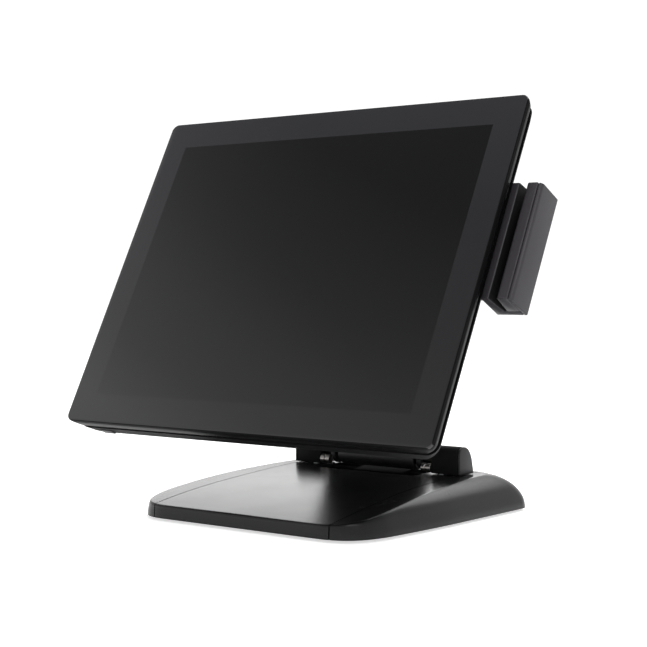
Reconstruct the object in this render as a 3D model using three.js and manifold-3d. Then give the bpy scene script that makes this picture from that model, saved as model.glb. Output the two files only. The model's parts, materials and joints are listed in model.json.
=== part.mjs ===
// A point-of-sale touchscreen terminal: a flat 15-inch touch display with its computer inside, a card
// reader on its right side, and a folding stand with one hinge on the base and one behind the head.
//
// Millimetres, +X to the customer's right, +Y away from the customer, +Z up.
// The origin is on the floor under the middle of the whole object.

import * as THREE from 'three';
import { mergeVertices } from 'three/addons/utils/BufferGeometryUtils.js';
import Module from 'manifold-3d';

const wasm = await Module();
wasm.setup();

// ---------------------------------------------------------------- driving dimensions

const GAP = 0.3;                    // space left between two pieces that rest on each other
const RUNNING = 0.2;                // radial clearance of a turning shaft in its bore
const OVERCUT = 1;                  // how far a cutting body runs past what it cuts

// Display head. Its own frame: x across, y into the depth from the glass, z up the screen.
const GLASS_WIDTH = 352;
const GLASS_HEIGHT = 276;
const GLASS_THICKNESS = 3;
const GLASS_CORNER = 6;
const GLASS_BORDER = 24;            // printed border, from the glass edge to the picture
const PANEL_RIM = 11.2;             // the display module reaches this far past the picture
const PANEL_THICKNESS = 8.5;
const GASKET_THICKNESS = 0.5;
const GASKET_INSET = 3.4;           // outer edge of the gasket, in from the glass edge
const BEZEL_TAPER = 3.4;            // the sides draw in by this much towards the back
const BEZEL_CREASE_DEPTH = 8;
const BEZEL_BACK_DEPTH = 11;
const BEZEL_LIP = 2.4;              // depth of the recessed lip behind the bezel
const BEZEL_LIP_INSET = 8;
const SCREEN_TILT = 27.2;           // degrees back from upright
const SCREEN_CENTRE_HEIGHT = 193.7; // above the underside of the base

// Rear cover
const SHADOW_GAP = 2.8;             // groove between the bezel and the rear cover
const COVER_WALL = 2.6;
const COVER_EDGE_DEPTH = 27;        // depth where the side walls end
const COVER_EDGE_TAPER = 8.4;
const COVER_SHOULDER_DEPTH = 34;
const COVER_SHOULDER_INSET = [26, 12];
const COVER_BACK_DEPTH = 56;
const COVER_BACK_INSET = [58, 42];
const VENT_COUNT = 15;
const VENT_PITCH = 12;
const VENT_WIDTH = 3.2;
const VENT_DROP = 6;                // the vents start this far above the flat back
const VENT_SETBACK = 4;             // and end this far behind the shoulder

// Inside the head
const CHASSIS_DEPTH = 17;
const CHASSIS_THICKNESS = 1.2;
const CHASSIS_RIM = 12;             // the chassis stops this far inside the rear cover's side walls
const BOARD_WIDTH = 170;
const BOARD_HEIGHT = 155;
const BOARD_THICKNESS = 1.6;
const BOARD_DEPTH = 30;
const DRIVE_WIDTH = 69.8;
const DRIVE_HEIGHT = 100;
const DRIVE_THICKNESS = 7;
const DRIVE_RISE = 30;              // the drive's tray above the lower edge of the board
const DRIVE_TRAY_THICKNESS = 1;
const HEATSINK_SIZE = [56, 48];
const HEATSINK_BASE = 4;
const FIN_COUNT = 9;
const FIN_PITCH = 6.6;
const FIN_THICKNESS = 1.6;
const MEMORY_PLACE = [-80, -12];    // left and right end of the memory socket
const MEMORY_RISE = 118;
const MEMORY_SIZE = [30, 1.2];      // height and thickness of the memory board
const SOCKET_SIZE = [7, 5];         // height and thickness of its socket
const SPEAKER_WIDTH = 40;
const SPEAKER_HEIGHT = 16;
const SPEAKER_DEPTH = 8;
const COVER_SCREW_INSET = 13;
const COVER_SCREW_RADIUS = 1.5;
const POST_RADIUS = 3.6;
const BAY_WIDTH = 150;              // connector bay, low in the back of the head
const BAY_ROOF_RISE = 4;            // the bay's roof above the lower edge of the flat back
const BAY_FLOOR_DEPTH = 31;
const CABLE_OUTLET = 18;            // the lid over the bay stops this far short of its lower end
const PORT_DROP = 12;               // the connectors stand this far below the board's edge
const PORT_WALL = 1.5;
const PORT_PROUD = 3;               // how far a connector stands down into the bay
const PORT_SOCKET_DEPTH = 9;
const PORT_OVERLAP = 4;             // a connector's seat on the board
const IO_PANEL_THICKNESS = 1;
const IO_PANEL_DEPTH = 20.5;
const BUTTON_LENGTH = 12;
const BUTTON_WIDTH = 6;
const BUTTON_INSET = 30;            // the power button, in from the left edge of the glass
const BUTTON_PROUD = 0.8;
const BUTTON_CLEARANCE = 0.4;

// Card reader
const READER_FRONT_DEPTH = 12;
const READER_BACK_DEPTH = 38;
const READER_BOTTOM = -21;          // up the screen, from the screen's centre
const READER_LENGTH = 92;
const READER_OFFSET = 2.7;          // from the side of the glass in to the guide rail
const READER_RAIL_WIDTH = 6.7;
const SLOT_MOUTH = 6.2;
const SLOT_FOOT = 1.6;
const SLOT_DEPTH = 21;
const READER_BODY_WIDTH = 11.8;
const READER_COVER_THICKNESS = 3;
const READER_CHAMFER = 1.4;
const READ_HEAD_LENGTH = 12;
const READ_HEAD_DEPTH = 7;
const READ_HEAD_BACK = 2.6;         // back of the read head, in from the slot's outer edge
const READ_HEAD_TRAVEL = 0.7;
const READER_EDGE = 0.8;            // chamfer along the mouth of the slot
const READER_WALL = 3;
const READER_END_WALL = 8;
const READER_ARM_SHORTER = 10;      // the bracket ends this far inside each end of the reader

// Neck and hinges
const NECK_HALF_WIDTH = 48;
const NECK_HALF_THICKNESS = 9.5;
const NECK_WALL = 2.2;
const ARM_CLEARANCE = 0.6;          // between the arm and the inside of the neck's casing
const ARM_EAR_THICKNESS = 4;
const ARM_HALF_THICKNESS = 6.8;
const ARM_WEB = 3;
const EAR_RADIUS = 9;
const BARREL_WALL = 2.5;            // the tube between the arm's two lower ears
const SHAFT_RADIUS = 4;
const SHAFT_HEAD_RADIUS = 5.8;
const SHAFT_HEAD_THICKNESS = 2.4;
const LOWER_COVER_START = 18;       // the neck covers start this far up from the lower axis
const UPPER_COVER_END = 17;         // and stop this far short of the upper axis
const UPPER_HINGE_RISE = 66;        // upper axis above the lower edge of the head's flat back
const UPPER_HINGE_STANDOFF = 13.5;  // upper axis behind the flat back of the head
const HINGE_PLATE_THICKNESS = 3;
const HINGE_PLATE_MARGIN = 7.4;     // the plate reaches this far past its ears
const HINGE_PLATE_HALF_HEIGHT = 46;
const HINGE_PLATE_EAR = 4;
const HINGE_SCREW_INSET = [10, 8.5];
const HINGE_SCREW_RADIUS = 2;
const SCREW_HEAD_RATIO = 2;
const SCREW_HEAD_THICKNESS = 1.8;

// Base
const BASE_WIDTH = 230;
const BASE_DEPTH = 231.6;
const BASE_FRONT = -56.3;           // front edge, from the plumb line through the screen's centre
const BASE_HEIGHT = 28.4;
const BASE_FRONT_HEIGHT = 10.3;
const BASE_SHOULDER = 30;           // how far in the rounded shoulder reaches
const BASE_WALL = 2.5;
const BASE_REAR_CORNER = 17;
const BASE_SEAM_FRONT = 84.9;       // seams between the middle and the two side rails
const BASE_SEAM_REAR = 79.8;
const BASE_SEAM_GAP = 0.4;
const BASE_PLATE_THICKNESS = 2.5;
const BASE_PLATE_CLEARANCE = 1.2;
const FOOT_HEIGHT = 2;
const FOOT_RADIUS = 7;
const FOOT_INSET = 24;
const BALLAST_SIZE = [120, 80, 11];
const BALLAST_SETBACK = 74;         // from the base's front edge
const HINGE_SETBACK = 180.8;        // lower axis, from the base's front edge
const HINGE_LIFT = 9.6;             // lower axis above the top of the base
const BOSS_CLEARANCE = 8;           // from the side of the neck to a hinge housing
const BOSS_WIDTH = 25;
const BOSS_WALL = 2.2;
const CAP_THICKNESS = 2.2;
const BOSS_FRONT_REACH = 9.5;       // housing in front of, above and behind the axis
const BOSS_TOP_REACH = 12.3;
const BOSS_BACK_REACH = 11.3;
const BRACKET_INSET = 6;            // bracket inside the housing's inner end
const BRACKET_THICKNESS = 4;
const BRACKET_HALF_WIDTH = 6.5;
const BRACKET_FOOT = 12;
const WASHER_THICKNESS = 1.4;
const WASHER_RADIUS = 6.4;
const NUT_RADIUS = 6;
const NUT_THICKNESS = 4;
const TENSION_SCREW_RADIUS = 3.7;
const TENSION_SCREW_REACH = 9.4;
const TENSION_SCREW_OFFSET = [-7.2, -5.8];
const TENSION_SHANK_SHIFT = 2.6;    // the shank sits this far off the collar's middle
const WELL_INSET = 6;               // the well ends this far short of the housings
const WELL_FRONT_REACH = 24;
const WELL_BACK_REACH = 9.5;
const GUIDE_HALF_WIDTH = 24.5;
const GUIDE_LENGTH = 19;
const GUIDE_THICKNESS = 5.5;
const GUIDE_NOSE_DROP = 2.4;

// ---------------------------------------------------------------- finishes

function finish(colour, roughness, metalness) {
  return new THREE.MeshStandardMaterial({ color: colour, roughness, metalness });
}
const COVER_GLASS = finish(0x17171a, 0.08, 0);
const BEZEL_PLASTIC = finish(0x1d1c1f, 0.45, 0);
const COVER_PLASTIC = finish(0x1a1a1c, 0.6, 0);
const BASE_PLASTIC = finish(0x1c1b1d, 0.4, 0);
const CAP_PLASTIC = finish(0x2b2a2d, 0.5, 0);
const DISPLAY_BACK = finish(0xb9bbbd, 0.45, 0.8);
const BLACK_STEEL = finish(0x202022, 0.5, 0.6);
const BRIGHT_STEEL = finish(0xc4c5c8, 0.28, 1);
const ZINC_SHEET = finish(0xa9acae, 0.42, 0.9);
const CAST_IRON = finish(0x3b3b3d, 0.7, 0.7);
const FIN_ALUMINIUM = finish(0x9fa2a6, 0.4, 0.9);
const BOARD_GREEN = finish(0x14452c, 0.5, 0);
const BLACK_RUBBER = finish(0x161617, 0.9, 0);
const DARK_PLASTIC = finish(0x111113, 0.6, 0);

// ---------------------------------------------------------------- solids

function solid(geometry) {
  geometry.deleteAttribute('normal');
  geometry.deleteAttribute('uv');
  const merged = mergeVertices(geometry, 1e-4);
  const vertProperties = new Float32Array(merged.attributes.position.array);
  const triVerts = new Uint32Array(merged.index.array);
  return new wasm.Manifold(new wasm.Mesh({ numProp: 3, vertProperties, triVerts }));
}

function surface(body) {
  const mesh = body.getMesh();
  const geometry = new THREE.BufferGeometry();
  geometry.setAttribute('position', new THREE.BufferAttribute(mesh.vertProperties, 3));
  geometry.setIndex(new THREE.BufferAttribute(mesh.triVerts, 1));
  geometry.computeVertexNormals();
  return geometry;
}

function box([x0, x1], [y0, y1], [z0, z1]) {
  const geometry = new THREE.BoxGeometry(x1 - x0, y1 - y0, z1 - z0);
  geometry.translate((x0 + x1) / 2, (y0 + y1) / 2, (z0 + z1) / 2);
  return solid(geometry);
}

// Round bars along each axis; the two numbers after the span are the other two coordinates.
function rodX(radius, [x0, x1], y, z, sides = 24) {
  const geometry = new THREE.CylinderGeometry(radius, radius, x1 - x0, sides);
  geometry.rotateZ(-Math.PI / 2);
  geometry.translate((x0 + x1) / 2, y, z);
  return solid(geometry);
}

function rodY(radius, [y0, y1], x, z, sides = 16) {
  const geometry = new THREE.CylinderGeometry(radius, radius, y1 - y0, sides);
  geometry.translate(x, (y0 + y1) / 2, z);
  return solid(geometry);
}

function rodZ(radius, [z0, z1], x, y, sides = 24) {
  const geometry = new THREE.CylinderGeometry(radius, radius, z1 - z0, sides);
  geometry.rotateX(Math.PI / 2);
  geometry.translate(x, y, (z0 + z1) / 2);
  return solid(geometry);
}

const ALONG_X = new THREE.Matrix4().makeBasis(
  new THREE.Vector3(0, 1, 0), new THREE.Vector3(0, 0, 1), new THREE.Vector3(1, 0, 0));
const AGAINST_Y = new THREE.Matrix4().makeBasis(
  new THREE.Vector3(1, 0, 0), new THREE.Vector3(0, 0, 1), new THREE.Vector3(0, -1, 0));

// An outline in (y, z), drawn out along x.
function barX(shape, [x0, x1], curveSegments = 6) {
  const geometry = new THREE.ExtrudeGeometry(shape, { depth: x1 - x0, bevelEnabled: false, curveSegments });
  geometry.applyMatrix4(ALONG_X);
  geometry.translate(x0, 0, 0);
  return solid(geometry);
}

// An outline in (x, z), drawn out along y.
function barY(shape, [y0, y1], curveSegments = 6) {
  const geometry = new THREE.ExtrudeGeometry(shape, { depth: y1 - y0, bevelEnabled: false, curveSegments });
  geometry.applyMatrix4(AGAINST_Y);
  geometry.translate(0, y1, 0);
  return solid(geometry);
}

// An outline in (x, y), drawn out along z.
function barZ(shape, [z0, z1], curveSegments = 6) {
  const geometry = new THREE.ExtrudeGeometry(shape, { depth: z1 - z0, bevelEnabled: false, curveSegments });
  geometry.translate(0, 0, z0);
  return solid(geometry);
}

function polygon(points) {
  return new THREE.Shape(points.map(([a, b]) => new THREE.Vector2(a, b)));
}

function roundedRectangle(halfWidth, halfHeight, radius) {
  const shape = new THREE.Shape();
  const [w, h] = [halfWidth - radius, halfHeight - radius];
  shape.absarc(w, -h, radius, -Math.PI / 2, 0);
  shape.absarc(w, h, radius, 0, Math.PI / 2);
  shape.absarc(-w, h, radius, Math.PI / 2, Math.PI);
  shape.absarc(-w, -h, radius, Math.PI, 1.5 * Math.PI);
  return shape;
}

// A body through a stack of outlines that all have the same number of points.
function loft(outlines, levels) {
  const count = outlines[0].length;
  const positions = outlines.flatMap((outline, k) => outline.flatMap((p) => [p.x, p.y, levels[k]]));
  const index = [];
  for (let k = 0; k + 1 < outlines.length; k += 1) {
    for (let i = 0; i < count; i += 1) {
      const [a, b] = [k * count + i, k * count + (i + 1) % count];
      index.push(a, b, b + count, a, b + count, a + count);
    }
  }
  const last = (outlines.length - 1) * count;
  for (const [a, b, c] of THREE.ShapeUtils.triangulateShape(outlines[0], [])) index.push(c, b, a);
  for (const [a, b, c] of THREE.ShapeUtils.triangulateShape(outlines[outlines.length - 1], [])) {
    index.push(last + a, last + b, last + c);
  }
  const geometry = new THREE.BufferGeometry();
  geometry.setAttribute('position', new THREE.Float32BufferAttribute(positions, 3));
  geometry.setIndex(index);
  return geometry;
}

// Rounded rectangles stacked through the depth of the head, given from front to back.
function headLoft(sections, curveSegments = 3) {
  const stack = [...sections].reverse();
  const outlines = stack.map(({ halfWidth, halfHeight, radius }) =>
    roundedRectangle(halfWidth, halfHeight, radius).getPoints(curveSegments));
  const geometry = loft(outlines, stack.map(({ depth }) => -depth));
  geometry.applyMatrix4(AGAINST_Y);
  return solid(geometry);
}

function add(group, name, body, material) {
  const mesh = new THREE.Mesh(surface(body), material);
  mesh.name = name;
  group.add(mesh);
}

// side is -1 on the left and +1 on the right
const SIDES = [['left', -1], ['right', 1]];
const span = (side, from, to) => (side > 0 ? [from, to] : [-to, -from]);
const bothWays = (half) => [-half, half];

// ---------------------------------------------------------------- head: sizes that follow

const HALF_WIDTH = GLASS_WIDTH / 2;
const HALF_HEIGHT = GLASS_HEIGHT / 2;
const PANEL_HALF_WIDTH = HALF_WIDTH - GLASS_BORDER + PANEL_RIM;
const PANEL_HALF_HEIGHT = HALF_HEIGHT - GLASS_BORDER + PANEL_RIM;
const BEZEL_FRONT = GLASS_THICKNESS + GAP;
const LEDGE_DEPTH = BEZEL_FRONT + GASKET_THICKNESS + GAP;
const OPENING_HALF_WIDTH = PANEL_HALF_WIDTH + 2 * GAP;
const OPENING_HALF_HEIGHT = PANEL_HALF_HEIGHT + 2 * GAP;
const COVER_FRONT = BEZEL_BACK_DEPTH + SHADOW_GAP;
const BACK_HALF_WIDTH = HALF_WIDTH - COVER_BACK_INSET[0];
const BACK_HALF_HEIGHT = HALF_HEIGHT - COVER_BACK_INSET[1];
const BAY_ROOF = -BACK_HALF_HEIGHT + BAY_ROOF_RISE;
const BOARD_BOTTOM = BAY_ROOF + PORT_DROP;
const COVER_SCREW_PLACES = [-1, 1].map((x) => [
  x * (BACK_HALF_WIDTH - COVER_SCREW_INSET), COVER_SCREW_INSET - BACK_HALF_HEIGHT]);
const UPPER_AXIS = [COVER_BACK_DEPTH + UPPER_HINGE_STANDOFF, UPPER_HINGE_RISE - BACK_HALF_HEIGHT];
const PLATE_EAR_PLACE = NECK_HALF_WIDTH + 2 * GAP;
const PLATE_HALF_WIDTH = PLATE_EAR_PLACE + HINGE_PLATE_EAR + HINGE_PLATE_MARGIN;
const HINGE_SCREW_PLACES = [[1, 1], [-1, 1], [-1, -1], [1, -1]].map(([x, z]) => [
  x * (PLATE_HALF_WIDTH - HINGE_SCREW_INSET[0]),
  UPPER_AXIS[1] + z * (HINGE_PLATE_HALF_HEIGHT - HINGE_SCREW_INSET[1])]);
const ON_CHASSIS = CHASSIS_DEPTH + CHASSIS_THICKNESS + GAP;
const ON_BOARD = BOARD_DEPTH + BOARD_THICKNESS + GAP;

// Outer skin of the rear cover, drawn in on every side by inset.
function coverBody(inset, front) {
  const step = (depth, inX, inZ, radius) => ({
    depth: depth === COVER_BACK_DEPTH ? depth - inset : depth,
    halfWidth: HALF_WIDTH - inX - inset,
    halfHeight: HALF_HEIGHT - inZ - inset,
    radius: Math.max(radius - inset, 3),
  });
  return headLoft([
    step(front, BEZEL_TAPER - 0.3, 0.1, 9),
    step(COVER_EDGE_DEPTH, BEZEL_TAPER + COVER_EDGE_TAPER - 0.3, 0.7, 11),
    step(COVER_SHOULDER_DEPTH, ...COVER_SHOULDER_INSET, 16),
    step(COVER_BACK_DEPTH, ...COVER_BACK_INSET, 18),
  ]);
}

// ---------------------------------------------------------------- head: display

function touchGlass() {
  const edge = 0.6;
  const plate = (depth, inset) => ({
    depth, halfWidth: HALF_WIDTH - inset, halfHeight: HALF_HEIGHT - inset, radius: GLASS_CORNER - inset });
  return headLoft([plate(0, edge), plate(edge, 0), plate(GLASS_THICKNESS, 0)]);
}

function glassGasket() {
  const outer = roundedRectangle(HALF_WIDTH - GASKET_INSET, HALF_HEIGHT - GASKET_INSET, GLASS_CORNER);
  outer.holes.push(roundedRectangle(OPENING_HALF_WIDTH + 1, OPENING_HALF_HEIGHT + 1, 2));
  return barY(outer, [BEZEL_FRONT, BEZEL_FRONT + GASKET_THICKNESS], 4);
}

function frontBezel() {
  const step = (depth, inX, radius) => ({
    depth, halfWidth: HALF_WIDTH - inX, halfHeight: HALF_HEIGHT - inX / 12, radius });
  const body = headLoft([
    step(BEZEL_FRONT, 0.2, GLASS_CORNER),
    step(BEZEL_CREASE_DEPTH, BEZEL_TAPER / 2, GLASS_CORNER + 1),
    step(BEZEL_BACK_DEPTH, BEZEL_TAPER, GLASS_CORNER + 2),
  ]);
  const lip = barY(
    roundedRectangle(HALF_WIDTH - BEZEL_LIP_INSET, HALF_HEIGHT - BEZEL_LIP_INSET + 3, GLASS_CORNER),
    [BEZEL_BACK_DEPTH - OVERCUT, BEZEL_BACK_DEPTH + BEZEL_LIP]);
  const opening = box(bothWays(OPENING_HALF_WIDTH), [0, COVER_FRONT], bothWays(OPENING_HALF_HEIGHT));
  const gasketSeat = barY(
    roundedRectangle(HALF_WIDTH - GASKET_INSET + GAP, HALF_HEIGHT - GASKET_INSET + GAP, GLASS_CORNER),
    [0, LEDGE_DEPTH]);
  return body.add(lip).subtract(opening).subtract(gasketSeat);
}

// The display module, with the shallow can of its lamps and driver board on its back.
function displayPanel() {
  const front = LEDGE_DEPTH - GAP;
  const back = front + PANEL_THICKNESS;
  const can = { side: 14, below: 22, above: 8, proud: 1.5 };
  const module = box(bothWays(PANEL_HALF_WIDTH), [front, back], bothWays(PANEL_HALF_HEIGHT));
  const backCan = box(bothWays(PANEL_HALF_WIDTH - can.side), [front, back + can.proud],
    [can.below - PANEL_HALF_HEIGHT, PANEL_HALF_HEIGHT - can.above]);
  return module.add(backCan);
}

// ---------------------------------------------------------------- head: frame and electronics

function mainChassis() {
  const halfWidth = HALF_WIDTH - BEZEL_TAPER - COVER_EDGE_TAPER - COVER_WALL - CHASSIS_RIM;
  const halfHeight = HALF_HEIGHT - COVER_WALL - CHASSIS_RIM;
  const back = CHASSIS_DEPTH + CHASSIS_THICKNESS;
  let body = box(bothWays(halfWidth), [CHASSIS_DEPTH, back], bothWays(halfHeight));
  const flange = { tall: 7, shorter: 30 };
  for (const [, side] of SIDES) {
    body = body.add(box(span(side, halfWidth - CHASSIS_THICKNESS, halfWidth),
      [CHASSIS_DEPTH, back + flange.tall], bothWays(halfHeight - flange.shorter)));
  }
  const postTop = COVER_BACK_DEPTH - COVER_WALL - GAP;
  for (const [x, z] of COVER_SCREW_PLACES) {
    body = body.add(rodY(POST_RADIUS, [CHASSIS_DEPTH, postTop], x, z));
    body = body.subtract(rodY(COVER_SCREW_RADIUS + GAP, [postTop - 10, postTop + OVERCUT], x, z));
  }
  for (const [x, z] of HINGE_SCREW_PLACES) {
    body = body.add(rodY(POST_RADIUS + 1, [CHASSIS_DEPTH, postTop], x, z));
    body = body.subtract(rodY(HINGE_SCREW_RADIUS + GAP, [postTop - 12, postTop + OVERCUT], x, z));
  }
  return body;
}

// The board with its taller parts, and holes that the hinge posts pass through.
// A part's numbers are its ends across the board, its height, and its ends above the board's lower edge.
const POST_SIDE = HINGE_SCREW_PLACES[0][0];
const BOARD_PARTS = [
  [POST_SIDE + 8, POST_SIDE + 16, 3, 14, 20], [-76, -60, 4, 30, 46], [-76, -64, 7, 60, 72],
  [62, 78, 9, 118, 128],
];

function mainboard() {
  const back = BOARD_DEPTH + BOARD_THICKNESS;
  const top = BOARD_BOTTOM + BOARD_HEIGHT;
  let body = box(bothWays(BOARD_WIDTH / 2), [BOARD_DEPTH, back], [BOARD_BOTTOM, top]);
  for (const [x0, x1, tall, z0, z1] of BOARD_PARTS) {
    body = body.add(box([x0, x1], [BOARD_DEPTH, back + tall], [BOARD_BOTTOM + z0, BOARD_BOTTOM + z1]));
  }
  for (const [x, z] of HINGE_SCREW_PLACES) {
    body = body.subtract(rodY(POST_RADIUS + 2, [BOARD_DEPTH - OVERCUT, back + OVERCUT], x, z));
  }
  return body;
}

// A finned block on the board, between the hinge posts.
function cpuHeatsink() {
  const back = COVER_BACK_DEPTH - COVER_WALL - 3;
  const middle = UPPER_AXIS[1] + 6;
  const [width, height] = HEATSINK_SIZE;
  const up = [middle - height / 2, middle + height / 2];
  let body = box(bothWays(width / 2), [ON_BOARD, ON_BOARD + HEATSINK_BASE], up);
  for (let i = 0; i < FIN_COUNT; i += 1) {
    const x = (i - (FIN_COUNT - 1) / 2) * FIN_PITCH;
    body = body.add(box([x - FIN_THICKNESS / 2, x + FIN_THICKNESS / 2], [ON_BOARD, back], up));
  }
  return body;
}

// A memory board that stands parallel to the mainboard, in its socket.
function memoryModule() {
  const [height, thickness] = MEMORY_SIZE;
  const [socketHeight, socketThickness] = SOCKET_SIZE;
  const low = BOARD_BOTTOM + MEMORY_RISE;
  const front = ON_BOARD + 3;
  const stick = box(MEMORY_PLACE, [front, front + thickness], [low, low + height]);
  const socketLow = low + height - 4;
  return stick.add(box(MEMORY_PLACE, [ON_BOARD, ON_BOARD + socketThickness],
    [socketLow, socketLow + socketHeight]));
}

const DRIVE_HALF = DRIVE_WIDTH / 2 - 1;
const TRAY_BOTTOM = BOARD_BOTTOM + DRIVE_RISE;

// A tray in front of the board, with a lip that the drive stands on.
function driveTray() {
  const top = TRAY_BOTTOM + DRIVE_TRAY_THICKNESS;
  const floor = box(bothWays(DRIVE_HALF), [ON_CHASSIS, ON_CHASSIS + DRIVE_TRAY_THICKNESS],
    [TRAY_BOTTOM, top + DRIVE_HEIGHT]);
  return floor.add(box(bothWays(DRIVE_HALF), [ON_CHASSIS, ON_CHASSIS + DRIVE_THICKNESS], [TRAY_BOTTOM, top]));
}

function storageDrive() {
  const front = ON_CHASSIS + DRIVE_TRAY_THICKNESS + GAP;
  const bottom = TRAY_BOTTOM + DRIVE_TRAY_THICKNESS + GAP;
  return box(bothWays(DRIVE_HALF), [front, front + DRIVE_THICKNESS], [bottom, bottom + DRIVE_HEIGHT]);
}

// A speaker in each lower corner: its can, and the ring of its cone.
function speaker(side) {
  const outer = HALF_WIDTH - BEZEL_TAPER - COVER_EDGE_TAPER - COVER_WALL - CHASSIS_RIM - 4;
  const low = -HALF_HEIGHT + COVER_WALL + CHASSIS_RIM;
  const back = ON_CHASSIS + SPEAKER_DEPTH;
  const can = box(span(side, outer - SPEAKER_WIDTH, outer), [ON_CHASSIS, back], [low, low + SPEAKER_HEIGHT]);
  const cone = rodY(SPEAKER_HEIGHT / 2 - 1.5, [back - OVERCUT, back + 1.2],
    side * (outer - SPEAKER_WIDTH / 2), low + SPEAKER_HEIGHT / 2);
  return can.add(cone);
}

// ---------------------------------------------------------------- head: rear cover and connectors

const BAY_HALF_WIDTH = BAY_WIDTH / 2;
const PORTS = [
  { name: 'dc_inlet', x: -52, width: 14, tall: 12 },
  { name: 'serial_port', x: -18, width: 31, tall: 12 },
  { name: 'lan_port', x: 20, width: 16, tall: 14 },
  { name: 'usb_port', x: 50, width: 15, tall: 16 },
];

function bayBlock(grow) {
  return box(bothWays(BAY_HALF_WIDTH + grow), [BAY_FLOOR_DEPTH - grow, COVER_BACK_DEPTH + 2 * OVERCUT],
    [-HALF_HEIGHT - OVERCUT - grow, BAY_ROOF + grow]);
}

function rearCover() {
  const outer = coverBody(0, COVER_FRONT);
  let hollow = coverBody(COVER_WALL, COVER_FRONT - OVERCUT);
  hollow = hollow.subtract(bayBlock(COVER_WALL));
  let body = outer.subtract(hollow).subtract(bayBlock(0));
  for (let i = 0; i < VENT_COUNT; i += 1) {
    const x = (i - (VENT_COUNT - 1) / 2) * VENT_PITCH;
    body = body.subtract(box([x - VENT_WIDTH / 2, x + VENT_WIDTH / 2],
      [COVER_SHOULDER_DEPTH + VENT_SETBACK, COVER_BACK_DEPTH + OVERCUT],
      [BACK_HALF_HEIGHT + VENT_DROP, HALF_HEIGHT]));
  }
  for (const [x, z] of COVER_SCREW_PLACES) {
    body = body.subtract(rodY(COVER_SCREW_RADIUS + GAP, [COVER_FRONT, COVER_BACK_DEPTH + OVERCUT], x, z));
  }
  for (const [x, z] of HINGE_SCREW_PLACES) {
    body = body.subtract(rodY(HINGE_SCREW_RADIUS + GAP, [COVER_FRONT, COVER_BACK_DEPTH + OVERCUT], x, z));
  }
  // the roof of the bay is open above the connectors, and the underside has the button's hole
  body = body.subtract(box(bothWays(BAY_HALF_WIDTH - 4), [ON_BOARD - GAP, ON_BOARD + IO_PANEL_DEPTH - 1.5],
    [BAY_ROOF - OVERCUT, BAY_ROOF + COVER_WALL + OVERCUT]));
  return body.subtract(buttonBlock(BUTTON_CLEARANCE, 20));
}

// A thin steel plate above the bay's open roof, cut out round each connector.
function ioPanel() {
  const low = BAY_ROOF + COVER_WALL + GAP;
  const high = low + IO_PANEL_THICKNESS;
  let body = box(bothWays(BAY_HALF_WIDTH - 1), [ON_BOARD, ON_BOARD + IO_PANEL_DEPTH], [low, high]);
  for (const { x, width, tall } of PORTS) {
    body = body.subtract(box([x - width / 2 - GAP, x + width / 2 + GAP],
      [ON_BOARD - OVERCUT, ON_BOARD + tall + GAP], [low - OVERCUT, high + OVERCUT]));
  }
  return body;
}

// A connector shell that stands down through the panel, with its socket open at the lower end.
function connector({ x, width, tall }) {
  const top = BOARD_BOTTOM + PORT_OVERLAP;
  const bottom = BAY_ROOF - PORT_PROUD;
  const shell = box([x - width / 2, x + width / 2], [ON_BOARD, ON_BOARD + tall], [bottom, top]);
  const socket = box([x - width / 2 + PORT_WALL, x + width / 2 - PORT_WALL],
    [ON_BOARD + PORT_WALL, ON_BOARD + tall - PORT_WALL], [bottom - OVERCUT, bottom + PORT_SOCKET_DEPTH]);
  return shell.subtract(socket);
}

// The lid over the bay carries on the slope of the back and stops short of the bottom, where cables leave.
function cableCover() {
  const from = new THREE.Vector2(COVER_SHOULDER_DEPTH, -HALF_HEIGHT + COVER_SHOULDER_INSET[1]);
  const to = new THREE.Vector2(COVER_BACK_DEPTH, -BACK_HALF_HEIGHT);
  const along = to.clone().sub(from).normalize();
  const inward = new THREE.Vector2(-along.y, along.x);
  const low = from.clone().addScaledVector(along, CABLE_OUTLET);
  const lid = polygon([
    low.toArray(), to.toArray(), [COVER_BACK_DEPTH, BAY_ROOF - GAP],
    [COVER_BACK_DEPTH - COVER_WALL, BAY_ROOF - GAP],
    to.clone().addScaledVector(inward, COVER_WALL).toArray(),
    low.clone().addScaledVector(inward, COVER_WALL).toArray(),
  ]);
  return barX(lid, bothWays(BAY_HALF_WIDTH - GAP));
}

function buttonBlock(grow, depth) {
  const x = -HALF_WIDTH + BUTTON_INSET;
  const y = (COVER_FRONT + COVER_EDGE_DEPTH) / 2;
  const low = -HALF_HEIGHT - (grow > 0 ? OVERCUT + BUTTON_PROUD : BUTTON_PROUD - 0.4);
  return box([x - BUTTON_LENGTH / 2 - grow, x + BUTTON_LENGTH / 2 + grow],
    [y - BUTTON_WIDTH / 2 - grow, y + BUTTON_WIDTH / 2 + grow], [low, low + depth]);
}

function powerButton() {
  const cap = buttonBlock(0, 7);
  const x = -HALF_WIDTH + BUTTON_INSET;
  const y = (COVER_FRONT + COVER_EDGE_DEPTH) / 2;
  const inside = -HALF_HEIGHT + COVER_WALL + 1;
  const rim = box([x - BUTTON_LENGTH / 2 - 1.5, x + BUTTON_LENGTH / 2 + 1.5],
    [y - BUTTON_WIDTH / 2 - 1, y + BUTTON_WIDTH / 2 + 1], [inside, inside + 1.2]);
  return cap.add(rim);
}

function screwY(radius, seat, length, [x, z]) {
  const head = rodY(radius * SCREW_HEAD_RATIO, [seat, seat + SCREW_HEAD_THICKNESS], x, z, 12);
  const socket = rodY(radius * 0.8, [seat + 0.8, seat + SCREW_HEAD_THICKNESS + OVERCUT], x, z, 6);
  return head.add(rodY(radius, [seat - length, seat + 0.5], x, z, 12)).subtract(socket);
}

// ---------------------------------------------------------------- head: card reader

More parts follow.
